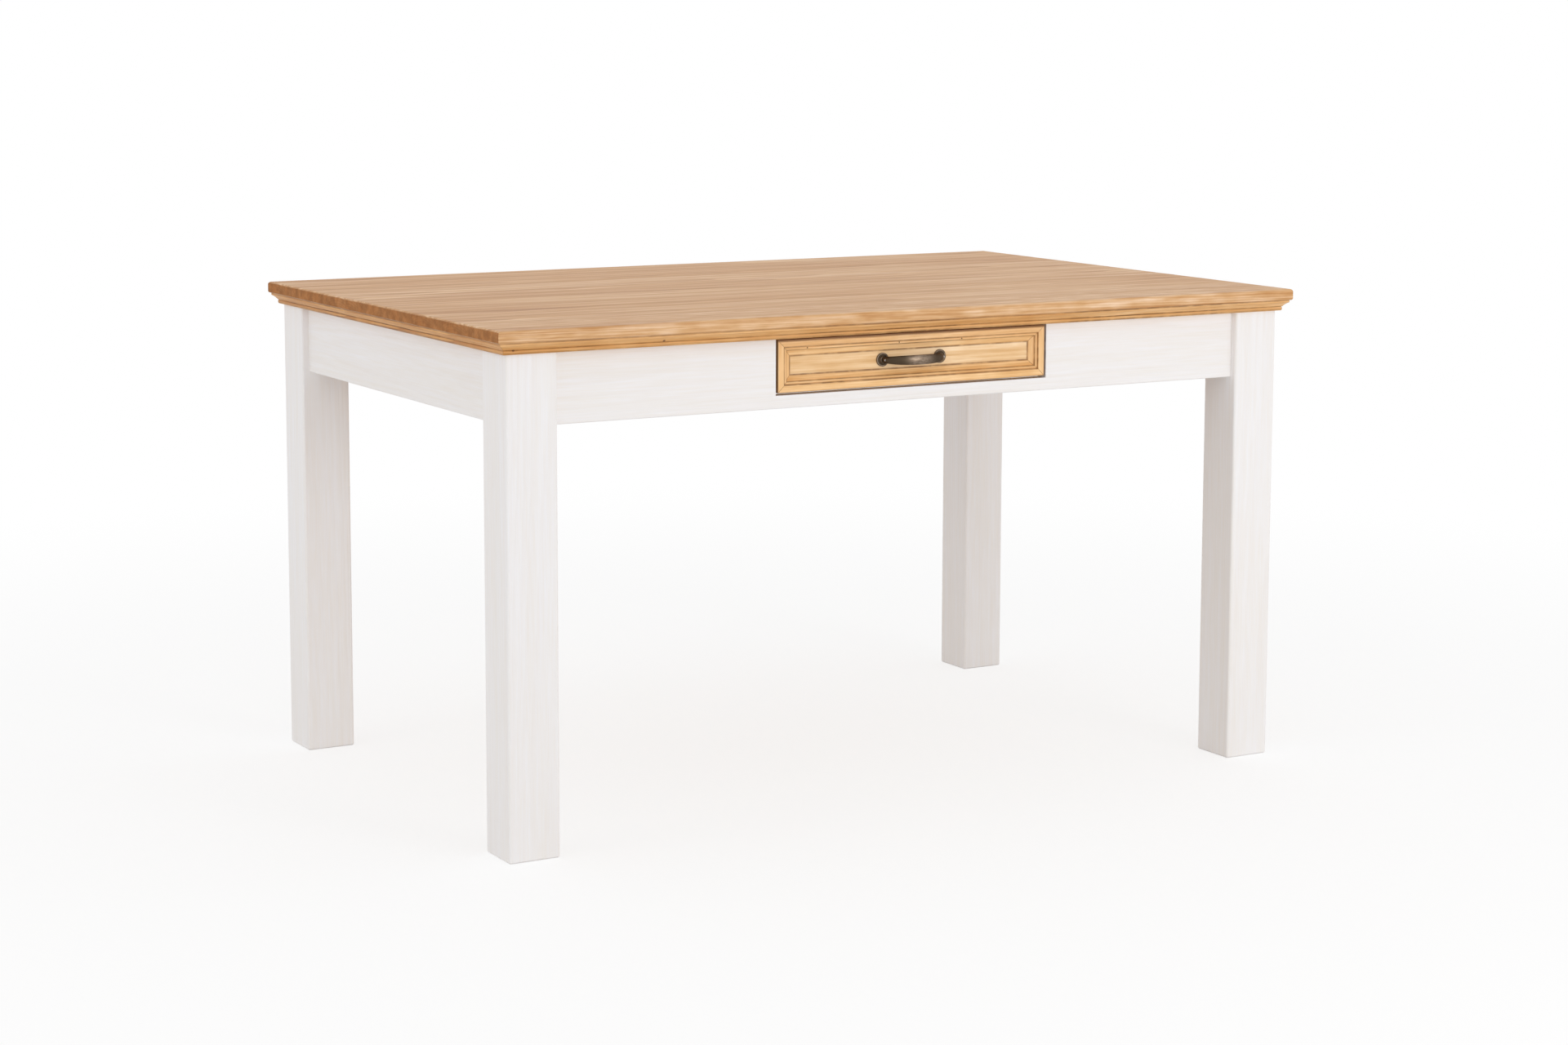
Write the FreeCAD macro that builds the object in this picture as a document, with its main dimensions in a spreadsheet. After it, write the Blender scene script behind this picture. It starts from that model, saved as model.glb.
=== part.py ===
import FreeCAD, Part
import math
import os
import re

import Sketcher

# Country dining table with one drawer: a pine top on a white frame of four square legs and four aprons.
# Millimetres. The origin is on the floor under the middle of the top, +X runs along the length,
# -Y is the drawer side and +Z is up.

V = FreeCAD.Vector
Turn = FreeCAD.Rotation

# Driving dimensions, each written once. They become the cells of the sheet.
SIZES = {
    # the table as a whole
    "top_length": 1400,
    "top_width": 900,
    "table_height": 765,
    # top boards
    "top_thickness": 18,
    "top_edge_radius": 4.5,
    "top_under_radius": 3,
    # moulding strips under the top: quirk, cove and bead from the top down
    "moulding_height": 17,
    "moulding_inset": 4,
    "quirk_height": 3.5,
    "cove_height": 7,
    "cove_depth": 8,
    "cove_radius": 20,
    "bead_lip": 1.4,
    "bead_radius": 5,
    "strip_cover": 2,
    # legs
    "leg_size": 80,
    "leg_inset": 19,
    "leg_edge_radius": 4,
    "foot_chamfer": 2,
    "corner_flat": 20,
    # aprons
    "apron_height": 105,
    "apron_thickness": 22,
    "apron_setback": 12,
    "apron_edge_radius": 2,
    "dowel_diameter": 8,
    "dowel_length": 40,
    "dowel_spacing": 60,
    # corner plates, hanger bolts, washers and nuts
    "plate_gap": 5,
    "plate_thickness": 2.5,
    "plate_height": 70,
    "plate_flange": 25,
    "plate_hole_spacing": 44,
    "bolt_diameter": 8,
    "bolt_in_leg": 48,
    "bolt_spacing": 36,
    "bolt_proud": 5,
    "washer_diameter": 18,
    "washer_thickness": 1.6,
    "nut_height": 6.5,
    "nut_across_flats": 13,
    # wood screws with a rounded head
    "screw_diameter": 4,
    "screw_head_diameter": 7.5,
    "screw_head_height": 2.4,
    "screw_point": 4,
    "screw_cover": 4,
    "screw_recess_depth": 1.2,
    "screw_recess_width": 1,
    # steel angles between the aprons and the top
    "angle_leg": 30,
    "angle_width": 20,
    "angle_thickness": 2,
    "angle_first_hole": 11,
    "angle_hole_pitch": 11,
    "angle_offset": 380,
    # drawer opening and drawer front
    "drawer_opening_width": 481,
    "drawer_rail_height": 19.5,
    "drawer_gap": 3.5,
    "frame_width": 25,
    "frame_thickness": 22,
    "frame_band": 11,
    "frame_step": 2.5,
    "frame_flat": 0.8,
    "frame_bead": 4,
    "frame_bead_radius": 2.9,
    "frame_quirk": 1.2,
    "frame_cove_radius": 12,
    "frame_lip": 1,
    "panel_recess": 10,
    "panel_thickness": 6,
    "panel_tongue": 5.5,
    # drawer box
    "drawer_depth": 380,
    "box_clearance": 6,
    "box_thickness": 14,
    "bottom_thickness": 4,
    "bottom_height": 5,
    "bottom_tongue": 5.5,
    "box_dowel_diameter": 6,
    "box_dowel_length": 36,
    "box_dowel_spacing": 28,
    "front_screw_spread": 180,
    "front_screw_wall": 0.6,
    # what carries the drawer
    "bearer_thickness": 18,
    "bearer_height": 70,
    "bearer_dowel_diameter": 6,
    "bearer_dowel_length": 30,
    "bearer_dowel_spacing": 40,
    "runner_gap": 6,
    "runner_height": 9,
    "runner_tongue": 6,
    "runner_setback": 2,
    "runner_screw_diameter": 3.5,
    "runner_screw_head": 7,
    "runner_screw_bite": 12,
    "runner_screw_margin": 40,
    "stop_length": 24,
    "stop_height": 40,
    # handle
    "handle_spacing": 102,
    "handle_reach": 25,
    "bow_foot_height": 9,
    "bow_middle_height": 15,
    "bow_foot_thickness": 6.5,
    "bow_middle_thickness": 5,
    "rosette_diameter": 21,
    "rosette_height": 4,
    "handle_screw_diameter": 4,
    "handle_screw_bite": 7,
    # clearances
    "dowel_play": 0.05,
    "dowel_end_play": 0.5,
    "screw_play": 0.05,
    "bolt_hole_play": 0.5,
    "groove_play": 0.15,
    "slide_play": 0.3,
    "runner_side_play": 0.6,
}
TOP_BOARDS = 8
BOW_SECTIONS = 9
# How far a cutting outline reaches past the piece that it cuts.
PAST = "5"
# Two levels nearer than this count as the same when edges are picked.
CLOSE = 0.01

# Sizes worked out from the driving ones.
DERIVED = {
    # levels and places of the frame
    "leg_height": "table_height - top_thickness - moulding_height",
    "leg_x": "top_length / 2 - leg_inset",
    "leg_y": "top_width / 2 - leg_inset",
    "apron_bottom": "leg_height - apron_height",
    "apron_middle": "leg_height - apron_height / 2",
    "apron_centre": "apron_setback + apron_thickness / 2",
    "apron_inner": "apron_setback + apron_thickness",
    "board_width": f"top_width / {TOP_BOARDS}",
    "bead_height": "moulding_height - quirk_height - cove_height",
    "strip_width": "leg_inset - moulding_inset + apron_inner + angle_leg + strip_cover",
    # corner plates, measured from the outer corner of the leg
    "flat_middle": "leg_size - corner_flat / 2",
    "web_line": "2 * leg_size - corner_flat + sqrt(2) * plate_gap",
    "web_foot": "web_line - apron_inner",
    "plate_fold": "plate_thickness * (sqrt(2) - 1)",
    "plate_hole": "web_foot + plate_fold + plate_flange / 2",
    "bolt_length": "bolt_in_leg + plate_gap + plate_thickness + washer_thickness + nut_height + bolt_proud",
    # screws
    "plate_screw_length": "apron_thickness - screw_cover",
    "strip_screw_length": "moulding_height - screw_cover",
    "front_screw_length": "box_thickness + frame_thickness - panel_recess - screw_cover",
    # drawer front, box and runners
    "opening_height": "apron_height - drawer_rail_height",
    "opening_middle": "leg_height - opening_height / 2",
    "front_width": "drawer_opening_width - 2 * drawer_gap",
    "front_height": "opening_height - 2 * drawer_gap",
    "front_face": "apron_setback - leg_y",
    "front_back": "front_face + frame_thickness",
    "panel_face": "front_face + panel_recess",
    "frame_panel_slot": "panel_tongue + groove_play",
    "box_width": "drawer_opening_width - 2 * runner_gap",
    "box_height": "opening_height - 2 * box_clearance",
    "box_bottom": "opening_middle - box_height / 2",
    "box_inner_width": "box_width - 2 * box_thickness",
    "box_rear": "front_back + drawer_depth",
    "bottom_slot": "bottom_thickness + groove_play",
    "front_screw_edge": "frame_width - frame_panel_slot - screw_diameter / 2 - front_screw_wall",
    "front_screw_rise": "front_height / 2 - front_screw_edge",
    "runner_groove_depth": "runner_tongue + runner_side_play",
    "runner_depth": "runner_gap + runner_tongue",
    "runner_low": "box_height / 2 - runner_height / 2",
    "runner_front": "runner_setback - leg_y + apron_inner",
    "runner_length": "box_rear - runner_front",
    "bearer_length": "2 * (leg_y - apron_inner)",
    "bearer_centre": "drawer_opening_width / 2 + bearer_thickness / 2",
    "rosette_face": "panel_face - rosette_height",
    "handle_screw_length": "front_back + box_thickness - rosette_face + handle_screw_bite",
}

# Corners of the table in turn, with the side signs and the angle that brings a leg there.
CORNERS = [
    ("front_left", -1, -1, 0),
    ("front_right", 1, -1, 90),
    ("back_right", 1, 1, 180),
    ("back_left", -1, 1, 270),
]

doc = FreeCAD.newDocument("country_table")
sheet = doc.addObject("Spreadsheet::Sheet", "Sizes")
for row, (name, value) in enumerate(SIZES.items(), 1):
    sheet.set(f"A{row}", name)
    sheet.set(f"B{row}", str(value))
    sheet.setAlias(f"B{row}", name)
doc.recompute()

subparts = []


# Formulas and places

def formula(text):
    """Write out the named sizes in a formula as cells of the sheet."""
    def spell(match):
        word = match.group(0)
        if word in DERIVED:
            return "(" + formula(DERIVED[word]) + ")"
        return f"Sizes.{word}" if word in SIZES else word
    return re.sub(r"[a-z_]+", spell, str(text))


def number(text):
    """Value of a formula in millimetres."""
    return float(sheet.evalExpression(formula(text)))


def bind(item, **formulas):
    """Tie properties of an object to the sheet."""
    for name, text in formulas.items():
        item.setExpression(name, formula(text))


def place(item, at, turn=Turn()):
    """Set an object's turn, and tie the place of its origin to the sheet."""
    item.Placement = FreeCAD.Placement(V(), turn)
    for axis, text in zip("xyz", at):
        item.setExpression(f"Placement.Base.{axis}", formula(text))


def about_z(angle):
    return Turn(V(0, 0, 1), angle)


def along(x, y, z):
    """Turn that brings the +Z axis to the given direction."""
    return Turn(V(0, 0, 1), V(x, y, z))


def corner_point(corner, u, v):
    """Plan position of a point that is given from a leg's outer corner, u and v inwards."""
    _, side_x, side_y, angle = corner
    inward = {0: (u, v), 90: (f"-({v})", u), 180: (f"-({u})", f"-({v})"), 270: (v, f"-({u})")}[angle]
    return f"{side_x} * leg_x + ({inward[0]})", f"{side_y} * leg_y + ({inward[1]})"


def corner_way(corner, u, v):
    """Plan direction of a step that is given in a leg's own frame."""
    return about_z(corner[3]).multVec(V(u, v, 0))


# Bodies, outlines and features

def new_body(label):
    body = doc.addObject("PartDesign::Body", label)
    body.Label = label
    return body


def new_sketch(body, plane, shift="0", turn=Turn(), slide="0"):
    """Sketch on one of the body's origin planes, moved along the plane's normal by shift."""
    sketch = body.newObject("Sketcher::SketchObject", body.Name + "_sketch")
    support = next(item for item in body.Origin.OriginFeatures if item.Role == plane)
    sketch.AttachmentSupport = [(support, "")]
    sketch.MapMode = "FlatFace"
    sketch.AttachmentOffset = FreeCAD.Placement(V(), turn)
    sketch.setExpression("AttachmentOffset.Base.x", formula(slide))
    sketch.setExpression("AttachmentOffset.Base.z", formula(shift))
    return sketch


def constrain(sketch, value, kind, *targets):
    """Add a dimension and tie it to the sheet."""
    index = sketch.addConstraint(Sketcher.Constraint(kind, *targets, number(value)))
    sketch.setExpression(f"Constraints[{index}]", formula(value))


def pin(sketch, geometry, point, x, y):
    """Fix a point of the sketch by its distances from the sketch's origin."""
    constrain(sketch, x, "DistanceX", -1, 1, geometry, point)
    constrain(sketch, y, "DistanceY", -1, 1, geometry, point)


def arc_between(start, end, radius):
    """Short arc from start to end: with a positive radius it turns left, with a negative one right."""
    chord = end - start
    half = chord.Length / 2
    left = V(-chord.y, chord.x, 0).normalize()
    centre = start + chord / 2 + left * math.copysign(math.sqrt(radius ** 2 - half ** 2), radius)
    first, last = (start, end) if radius > 0 else (end, start)
    angles = [math.atan2(point.y - centre.y, point.x - centre.x) for point in (first, last)]
    return Part.ArcOfCircle(Part.Circle(centre, V(0, 0, 1), abs(radius)), *angles)


def draw(sketch, corners):
    """Closed outline through corners (x, y), or (x, y, radius) where the side to the next one is an arc."""
    count = len(corners)
    points = [V(number(corner[0]), number(corner[1]), 0) for corner in corners]
    ends = []
    for index, corner in enumerate(corners):
        start, end = points[index], points[(index + 1) % count]
        radius = number(corner[2]) if len(corner) > 2 else 0
        shape = arc_between(start, end, radius) if radius else Part.LineSegment(start, end)
        sketch.addGeometry(shape, False)
        ends.append((2, 1) if radius < 0 else (1, 2))
    for index, corner in enumerate(corners):
        following = (index + 1) % count
        sketch.addConstraint(
            Sketcher.Constraint("Coincident", index, ends[index][1], following, ends[following][0]))
        pin(sketch, index, ends[index][0], corner[0], corner[1])
        if len(corner) > 2:
            constrain(sketch, f"abs({corner[2]})", "Radius", index)


def pad(body, plane, corners, length, both_ways=False, backwards=False, shift="0"):
    """Solid of the given outline and length, on one side of the plane or in its middle."""
    sketch = new_sketch(body, plane, shift)
    draw(sketch, corners)
    feature = body.newObject("PartDesign::Pad", body.Name + "_pad")
    feature.Profile = sketch
    feature.Midplane = both_ways
    feature.Reversed = backwards
    bind(feature, Length=length)
    doc.recompute()
    return feature


def pocket(body, sketch, depth, both_ways=False, backwards=False):
    """Cut a sketch's outline into the body, and make sure that it does cut."""
    before = body.Tip.Shape.Volume
    feature = body.newObject("PartDesign::Pocket", body.Name + "_pocket")
    feature.Profile = sketch
    feature.Midplane = both_ways
    feature.Reversed = backwards
    bind(feature, Length=depth)
    doc.recompute()
    if not feature.Shape.Volume < before:
        raise ValueError(f"a cut in {body.Label} removes nothing")


def cut(body, plane, corners, depth, both_ways=False, backwards=False, shift="0"):
    sketch = new_sketch(body, plane, shift)
    draw(sketch, corners)
    pocket(body, sketch, depth, both_ways, backwards)


def drill(body, plane, spots, diameter, depth, shift="0", backwards=False, turn=Turn(), slide="0"):
    """Round holes of one size from a plane into the body."""
    sketch = new_sketch(body, plane, shift, turn, slide)
    for index, (x, y) in enumerate(spots):
        sketch.addGeometry(Part.Circle(V(number(x), number(y), 0), V(0, 0, 1), number(diameter) / 2), False)
        constrain(sketch, f"({diameter}) / 2", "Radius", index)
        pin(sketch, index, 3, x, y)
    pocket(body, sketch, depth, backwards=backwards)


def edge_names(feature, wanted):
    """Names of the edges whose bounding box passes the test."""
    edges = enumerate(feature.Shape.Edges, 1)
    return [f"Edge{index}" for index, edge in edges if wanted(edge.BoundBox)]


def ease(body, kind, wanted, **sizes):
    """Round or bevel the edges that pass the test."""
    base = body.Tip
    feature = body.newObject(f"PartDesign::{kind}", f"{body.Name}_{kind.lower()}")
    feature.Base = (base, edge_names(base, wanted))
    bind(feature, **sizes)
    doc.recompute()


def turned(label, corners):
    """Solid of revolution about Z from an outline of (radius, height) corners."""
    body = new_body(label)
    sketch = new_sketch(body, "XZ_Plane")
    draw(sketch, corners)
    feature = body.newObject("PartDesign::Revolution", label + "_revolution")
    feature.Profile = sketch
    feature.ReferenceAxis = (sketch, ["V_Axis"])
    doc.recompute()
    return body


def rectangle(x0, y0, x1, y1):
    return [(x0, y0), (x1, y0), (x1, y1), (x0, y1)]


def plank(label, length_x, length_y, length_z):
    """Straight-sided piece with its lowest corner at its origin."""
    body = new_body(label)
    pad(body, "XY_Plane", rectangle("0", "0", length_x, length_y), length_z)
    return body


def keep(item, at=("0", "0", "0"), turn=Turn()):
    """Put a finished piece in its place and count it as a sub-part."""
    place(item, at, turn)
    subparts.append(item)
    return item


def keep_group(label, piece, spots):
    """Copies of one piece at (place, turn) spots, as one sub-part of separate solids."""
    copies = []
    for at, turn in spots:
        copy = doc.addObject("App::Link", label + "_copy")
        copy.LinkedObject = piece
        place(copy, at, turn)
        copies.append(copy)
    group = doc.addObject("Part::Compound", label)
    group.Label = label
    group.Links = copies
    subparts.append(group)


def mitred_strip(label, length, width, thickness, profile):
    """Strip along X with its outer edge on Y = 0, mitred at both ends, less a profile cut along it."""
    body = new_body(label)
    plan = [
        (f"-({length}) / 2", "0"),
        (f"({length}) / 2", "0"),
        (f"({length}) / 2 - ({width})", width),
        (f"({width}) - ({length}) / 2", width),
    ]
    pad(body, "XY_Plane", plan, thickness)
    cut(body, "YZ_Plane", profile, f"({length}) + {PAST}", both_ways=True)
    return body


# Top boards: glued edge to edge, rounded along the outside of the top

def top_board(index):
    body = plank(f"top_board_{index + 1}", "top_length", "board_width", "top_thickness")
    length, width, thickness = number("top_length"), number("board_width"), number("top_thickness")

    def outside(box):
        at_end = box.XLength < CLOSE and (box.XMin < CLOSE or box.XMax > length - CLOSE)
        at_front = index == 0 and box.YMax < CLOSE
        at_back = index == TOP_BOARDS - 1 and box.YMin > width - CLOSE
        return at_end or at_front or at_back

    ease(body, "Fillet", lambda box: outside(box) and box.ZMin > thickness - CLOSE, Radius="top_edge_radius")
    ease(body, "Fillet", lambda box: outside(box) and box.ZMax < CLOSE, Radius="top_under_radius")
    keep(body, ("-top_length / 2", f"{index} * board_width - top_width / 2", "table_height - top_thickness"))


for board_index in range(TOP_BOARDS):
    top_board(board_index)


# Moulding strips: they carry the top on the legs and aprons, and show a quirk, a cove and a bead

MOULDING_PROFILE = [
    ("0", "bead_height + cove_height", "-cove_radius"),
    ("cove_depth", "bead_height"),
    ("cove_depth + bead_lip", "bead_height", "bead_radius"),
    ("cove_depth + bead_lip", "0"),
    ("cove_depth + bead_lip", f"-{PAST}"),
    (f"-{PAST}", f"-{PAST}"),
    (f"-{PAST}", "bead_height + cove_height"),
]
# Where the steel angles stand along an apron: the long sides have two, the short sides one.
LONG_ANGLES = ["-angle_offset", "angle_offset"]
SHORT_ANGLES = ["0"]
ANGLE_HOLES = ["angle_first_hole", "angle_first_hole + angle_hole_pitch"]


def moulding(side, length, at, angle, angles):
    body = mitred_strip(f"moulding_{side}", length, "strip_width", "moulding_height", MOULDING_PROFILE)
    apron_line = "leg_inset - moulding_inset + apron_inner"
    spots = [(x, f"{apron_line} + {hole}") for x in angles for hole in ANGLE_HOLES]
    drill(body, "XY_Plane", spots, "screw_diameter + 2 * screw_play", "strip_screw_length + screw_play",
          backwards=True)
    keep(body, (*at, "leg_height"), about_z(angle))


moulding_long = "top_length - 2 * moulding_inset"
moulding_short = "top_width - 2 * moulding_inset"
moulding("front", moulding_long, ("0", "moulding_inset - top_width / 2"), 0, LONG_ANGLES)
moulding("right", moulding_short, ("top_length / 2 - moulding_inset", "0"), 90, SHORT_ANGLES)
moulding("back", moulding_long, ("0", "top_width / 2 - moulding_inset"), 180, LONG_ANGLES)
moulding("left", moulding_short, ("moulding_inset - top_length / 2", "0"), 270, SHORT_ANGLES)


# Legs: alike, each turned into its corner. Behind the aprons the inner edge is cut flat for the bolts

DOWEL_LEVELS = ["apron_middle - dowel_spacing / 2", "apron_middle + dowel_spacing / 2"]
BOLT_LEVELS = ["apron_middle - bolt_spacing / 2", "apron_middle + bolt_spacing / 2"]
DOWEL_HOLE = "dowel_diameter + 2 * dowel_play"
DOWEL_HOLE_DEPTH = "dowel_length / 2 + dowel_end_play"
# Turns an upright sketch to face along the diagonal of a corner, inwards.
ACROSS_CORNER = Turn(V(0, 1, 0), 135)


def leg(corner):
    body = plank(f"leg_{corner[0]}", "leg_size", "leg_size", "leg_height")
    height = number("leg_height")
    ease(body, "Fillet", lambda box: box.ZLength > height - CLOSE, Radius="leg_edge_radius")
    ease(body, "Chamfer", lambda box: box.ZMax < CLOSE, Size="foot_chamfer")
    flat = [
        (f"leg_size - corner_flat - {PAST}", f"leg_size + {PAST}"),
        (f"leg_size + {PAST}", f"leg_size - corner_flat - {PAST}"),
        (f"leg_size + {PAST}", f"leg_size + {PAST}"),
    ]
    cut(body, "XY_Plane", flat, "apron_height", shift="leg_height")
    spots = [("apron_centre", level) for level in DOWEL_LEVELS]
    drill(body, "YZ_Plane", spots, DOWEL_HOLE, DOWEL_HOLE_DEPTH, shift="leg_size")
    drill(body, "XZ_Plane", spots, DOWEL_HOLE, DOWEL_HOLE_DEPTH, shift="-leg_size", backwards=True)
    drill(body, "XZ_Plane", [("0", level) for level in BOLT_LEVELS], "bolt_diameter + 2 * screw_play",
          "bolt_in_leg + dowel_end_play", shift="-flat_middle", turn=ACROSS_CORNER, slide="flat_middle")
    keep(body, (f"{corner[1]} * leg_x", f"{corner[2]} * leg_y", "0"), about_z(corner[3]))


for table_corner in CORNERS:
    leg(table_corner)


# Aprons: between the legs, set back from their faces. The front one is notched for the drawer

PLATE_HOLE_RISE = ["-plate_hole_spacing / 2", "plate_hole_spacing / 2"]
BEARER_DOWEL_RISE = ["-bearer_dowel_spacing / 2", "bearer_dowel_spacing / 2"]
SIDES = ["-1", "1"]


def apron(side, half_span, at, angle, angles, has_drawer=False, has_bearers=False):
    body = new_body(f"apron_{side}")
    half_length = f"{half_span} - leg_size"
    corners = rectangle(f"leg_size - {half_span}", "0", half_length, "apron_height")
    if has_drawer:
        notch = rectangle("drawer_opening_width / 2", "apron_height",
                          "-drawer_opening_width / 2", "drawer_rail_height")
        corners[3:3] = [notch[0], notch[3], notch[2], notch[1]]
    pad(body, "XZ_Plane", corners, "apron_thickness", backwards=True)
    long_edge = number(half_length)
    ease(body, "Fillet", lambda box: box.ZMax < CLOSE and box.XLength > long_edge, Radius="apron_edge_radius")
    ends = [("apron_thickness / 2", f"{level} - apron_bottom") for level in DOWEL_LEVELS]
    drill(body, "YZ_Plane", ends, DOWEL_HOLE, DOWEL_HOLE_DEPTH, shift=half_length)
    drill(body, "YZ_Plane", ends, DOWEL_HOLE, DOWEL_HOLE_DEPTH, shift=f"-({half_length})", backwards=True)
    plates = [(f"{way} * ({half_span} - plate_hole)", f"apron_height / 2 + {rise}")
              for way in SIDES for rise in PLATE_HOLE_RISE]
    drops = [(x, f"apron_height - ({hole})") for x in angles for hole in ANGLE_HOLES]
    drill(body, "XZ_Plane", plates + drops, "screw_diameter + 2 * screw_play",
          "plate_screw_length + screw_play", shift="-apron_thickness", backwards=True)
    if has_bearers:
        spots = [(f"{way} * bearer_centre", f"apron_height - opening_height / 2 + {rise}")
                 for way in SIDES for rise in BEARER_DOWEL_RISE]
        drill(body, "XZ_Plane", spots, "bearer_dowel_diameter + 2 * dowel_play",
              "bearer_dowel_length / 2 + dowel_end_play", shift="-apron_thickness", backwards=True)
    keep(body, (*at, "apron_bottom"), about_z(angle))


apron("front", "leg_x", ("0", "apron_setback - leg_y"), 0, LONG_ANGLES, has_drawer=True, has_bearers=True)
apron("right", "leg_y", ("leg_x - apron_setback", "0"), 90, SHORT_ANGLES)
apron("back", "leg_x", ("0", "leg_y - apron_setback"), 180, LONG_ANGLES, has_bearers=True)
apron("left", "leg_y", ("apron_setback - leg_x", "0"), 270, SHORT_ANGLES)


# Dowels: turned pegs with bevelled ends, half in each of the two pieces that they join

def dowel(label, diameter, length):
    radius, bevel = f"{diameter} / 2", f"{diameter} / 10"
    return turned(label, [
        ("0", f"-{length} / 2"),
        (f"{radius} - {bevel}", f"-{length} / 2"),
        (radius, f"{bevel} - {length} / 2"),
        (radius, f"{length} / 2 - {bevel}"),
        (f"{radius} - {bevel}", f"{length} / 2"),
        ("0", f"{length} / 2"),
    ])


def apron_dowel_spots():
    for corner in CORNERS:
        for level in DOWEL_LEVELS:
            yield (*corner_point(corner, "leg_size", "apron_centre"), level), along(*corner_way(corner, 1, 0))
            yield (*corner_point(corner, "apron_centre", "leg_size"), level), along(*corner_way(corner, 0, 1))


keep_group("apron_dowels", dowel("apron_dowel", "dowel_diameter", "dowel_length"), apron_dowel_spots())


# Corner plates: folded steel across the corner behind each leg, which the hanger bolts pull it against

def corner_plate(corner):
    body = new_body(f"corner_plate_{corner[0]}")
    flange_end = "web_foot + plate_flange"
    inner_fold = "web_foot + plate_fold"
    inner_face = "apron_inner + plate_thickness"
    outline = [
        (flange_end, "apron_inner"),
        (flange_end, inner_face),
        (inner_fold, inner_face),
        (inner_face, inner_fold),
        (inner_face, flange_end),
        ("apron_inner", flange_end),
        ("apron_inner", "web_foot"),
        ("web_foot", "apron_inner"),
    ]
    pad(body, "XY_Plane", outline, "plate_height", both_ways=True)
    rises = [("plate_hole", rise) for rise in PLATE_HOLE_RISE]
    screw_hole = "screw_diameter + 2 * bolt_hole_play"
    drill(body, "XZ_Plane", rises, screw_hole, "plate_thickness", shift="-apron_inner")
    drill(body, "YZ_Plane", rises, screw_hole, "plate_thickness", shift="apron_inner", backwards=True)
    bolts = [("0", f"{level} - apron_middle") for level in BOLT_LEVELS]
    drill(body, "XZ_Plane", bolts, "bolt_diameter + 2 * bolt_hole_play", f"plate_thickness + {PAST}",
          shift=f"-web_line / 2 - {PAST}", turn=ACROSS_CORNER, slide=f"web_line / 2 + {PAST}")
    keep(body, (f"{corner[1]} * leg_x", f"{corner[2]} * leg_y", "apron_middle"), about_z(corner[3]))


for table_corner in CORNERS:
    corner_plate(table_corner)


# Hanger bolts, washers and nuts: on the diagonal of each corner, counted from the flat on the leg

def hanger_bolt():
    radius, bevel = "bolt_diameter / 2", "bolt_diameter / 8"
    return turned("leg_bolt", [
        ("0", "0"),
        (f"{radius} / 2", "0"),
        (radius, radius),
        (radius, f"bolt_length - {bevel}"),
        (f"{radius} - {bevel}", "bolt_length"),
        ("0", "bolt_length"),
    ])


def washer():
    hole = "bolt_diameter / 2 + bolt_hole_play"
    return turned("leg_washer", rectangle(hole, "0", "washer_diameter / 2", "washer_thickness"))


def nut():
    body = new_body("leg_nut")
    reach = "nut_across_flats / sqrt(3)"
    hexagon = [(f"{reach} * cos({angle})", f"{reach} * sin({angle})") for angle in range(0, 360, 60)]
    pad(body, "XY_Plane", hexagon, "nut_height")
    drill(body, "XY_Plane", [("0", "0")], "bolt_diameter + 2 * screw_play", "nut_height", backwards=True)
    return body


def bolt_spots(distance):
    """Both levels of every corner, at a distance from the flat on the leg."""
    for corner in CORNERS:
        step = f"flat_middle + ({distance}) / sqrt(2)"
        for level in BOLT_LEVELS:
            yield (*corner_point(corner, step, step), level), along(*corner_way(corner, 1, 1))


washer_seat = "plate_gap + plate_thickness"
keep_group("leg_bolts", hanger_bolt(), bolt_spots("-bolt_in_leg"))
keep_group("leg_washers", washer(), bolt_spots(washer_seat))
keep_group("leg_nuts", nut(), bolt_spots(f"{washer_seat} + washer_thickness"))


# Wood screws: pointed shank below the head, with a cross recess on top

def wood_screw(label, length):
    body = turned(label, [
        ("0", f"-({length})"),
        ("screw_diameter / 2", f"screw_point - ({length})"),
        ("screw_diameter / 2", "0"),
        ("screw_head_diameter / 2", "0"),
        ("screw_head_diameter / 2", "screw_head_height / 3"),
        ("screw_head_diameter / 4", "screw_head_height"),
        ("0", "screw_head_height"),
    ])
    arm, half = "screw_head_diameter / 5", "screw_recess_width / 2"
    cross = [
        (arm, f"-{half}"), (arm, half), (half, half), (half, arm), (f"-{half}", arm), (f"-{half}", half),
        (f"-{arm}", half), (f"-{arm}", f"-{half}"), (f"-{half}", f"-{half}"), (f"-{half}", f"-{arm}"),
        (half, f"-{arm}"), (half, f"-{half}"),
    ]
    cut(body, "XY_Plane", cross, "screw_recess_depth", shift="screw_head_height")
    return body


def plate_screw_spots():
    seat = "apron_inner + plate_thickness"
    for corner in CORNERS:
        for rise in PLATE_HOLE_RISE:
            level = f"apron_middle + {rise}"
            yield (*corner_point(corner, "plate_hole", seat), level), along(*corner_way(corner, 0, 1))
            yield (*corner_point(corner, seat, "plate_hole"), level), along(*corner_way(corner, 1, 0))


plate_screw = wood_screw("plate_screw", "plate_screw_length + plate_thickness")
keep_group("corner_plate_screws", plate_screw, plate_screw_spots())


# Steel angles: one leg on the inner face of an apron, the other under a moulding strip

def top_angle():
    body = new_body("top_angle")
    section = [
        ("0", "0"),
        ("0", "-angle_leg"),
        ("angle_thickness", "-angle_leg"),
        ("angle_thickness", "-angle_thickness"),
        ("angle_leg", "-angle_thickness"),
        ("angle_leg", "0"),
    ]
    pad(body, "YZ_Plane", section, "angle_width", both_ways=True)
    hole = "screw_diameter + 2 * bolt_hole_play"
    drill(body, "XY_Plane", [("0", way) for way in ANGLE_HOLES], hole, "angle_thickness")
    drill(body, "XZ_Plane", [("0", f"-({way})") for way in ANGLE_HOLES], hole, "angle_thickness")
    return body


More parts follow.
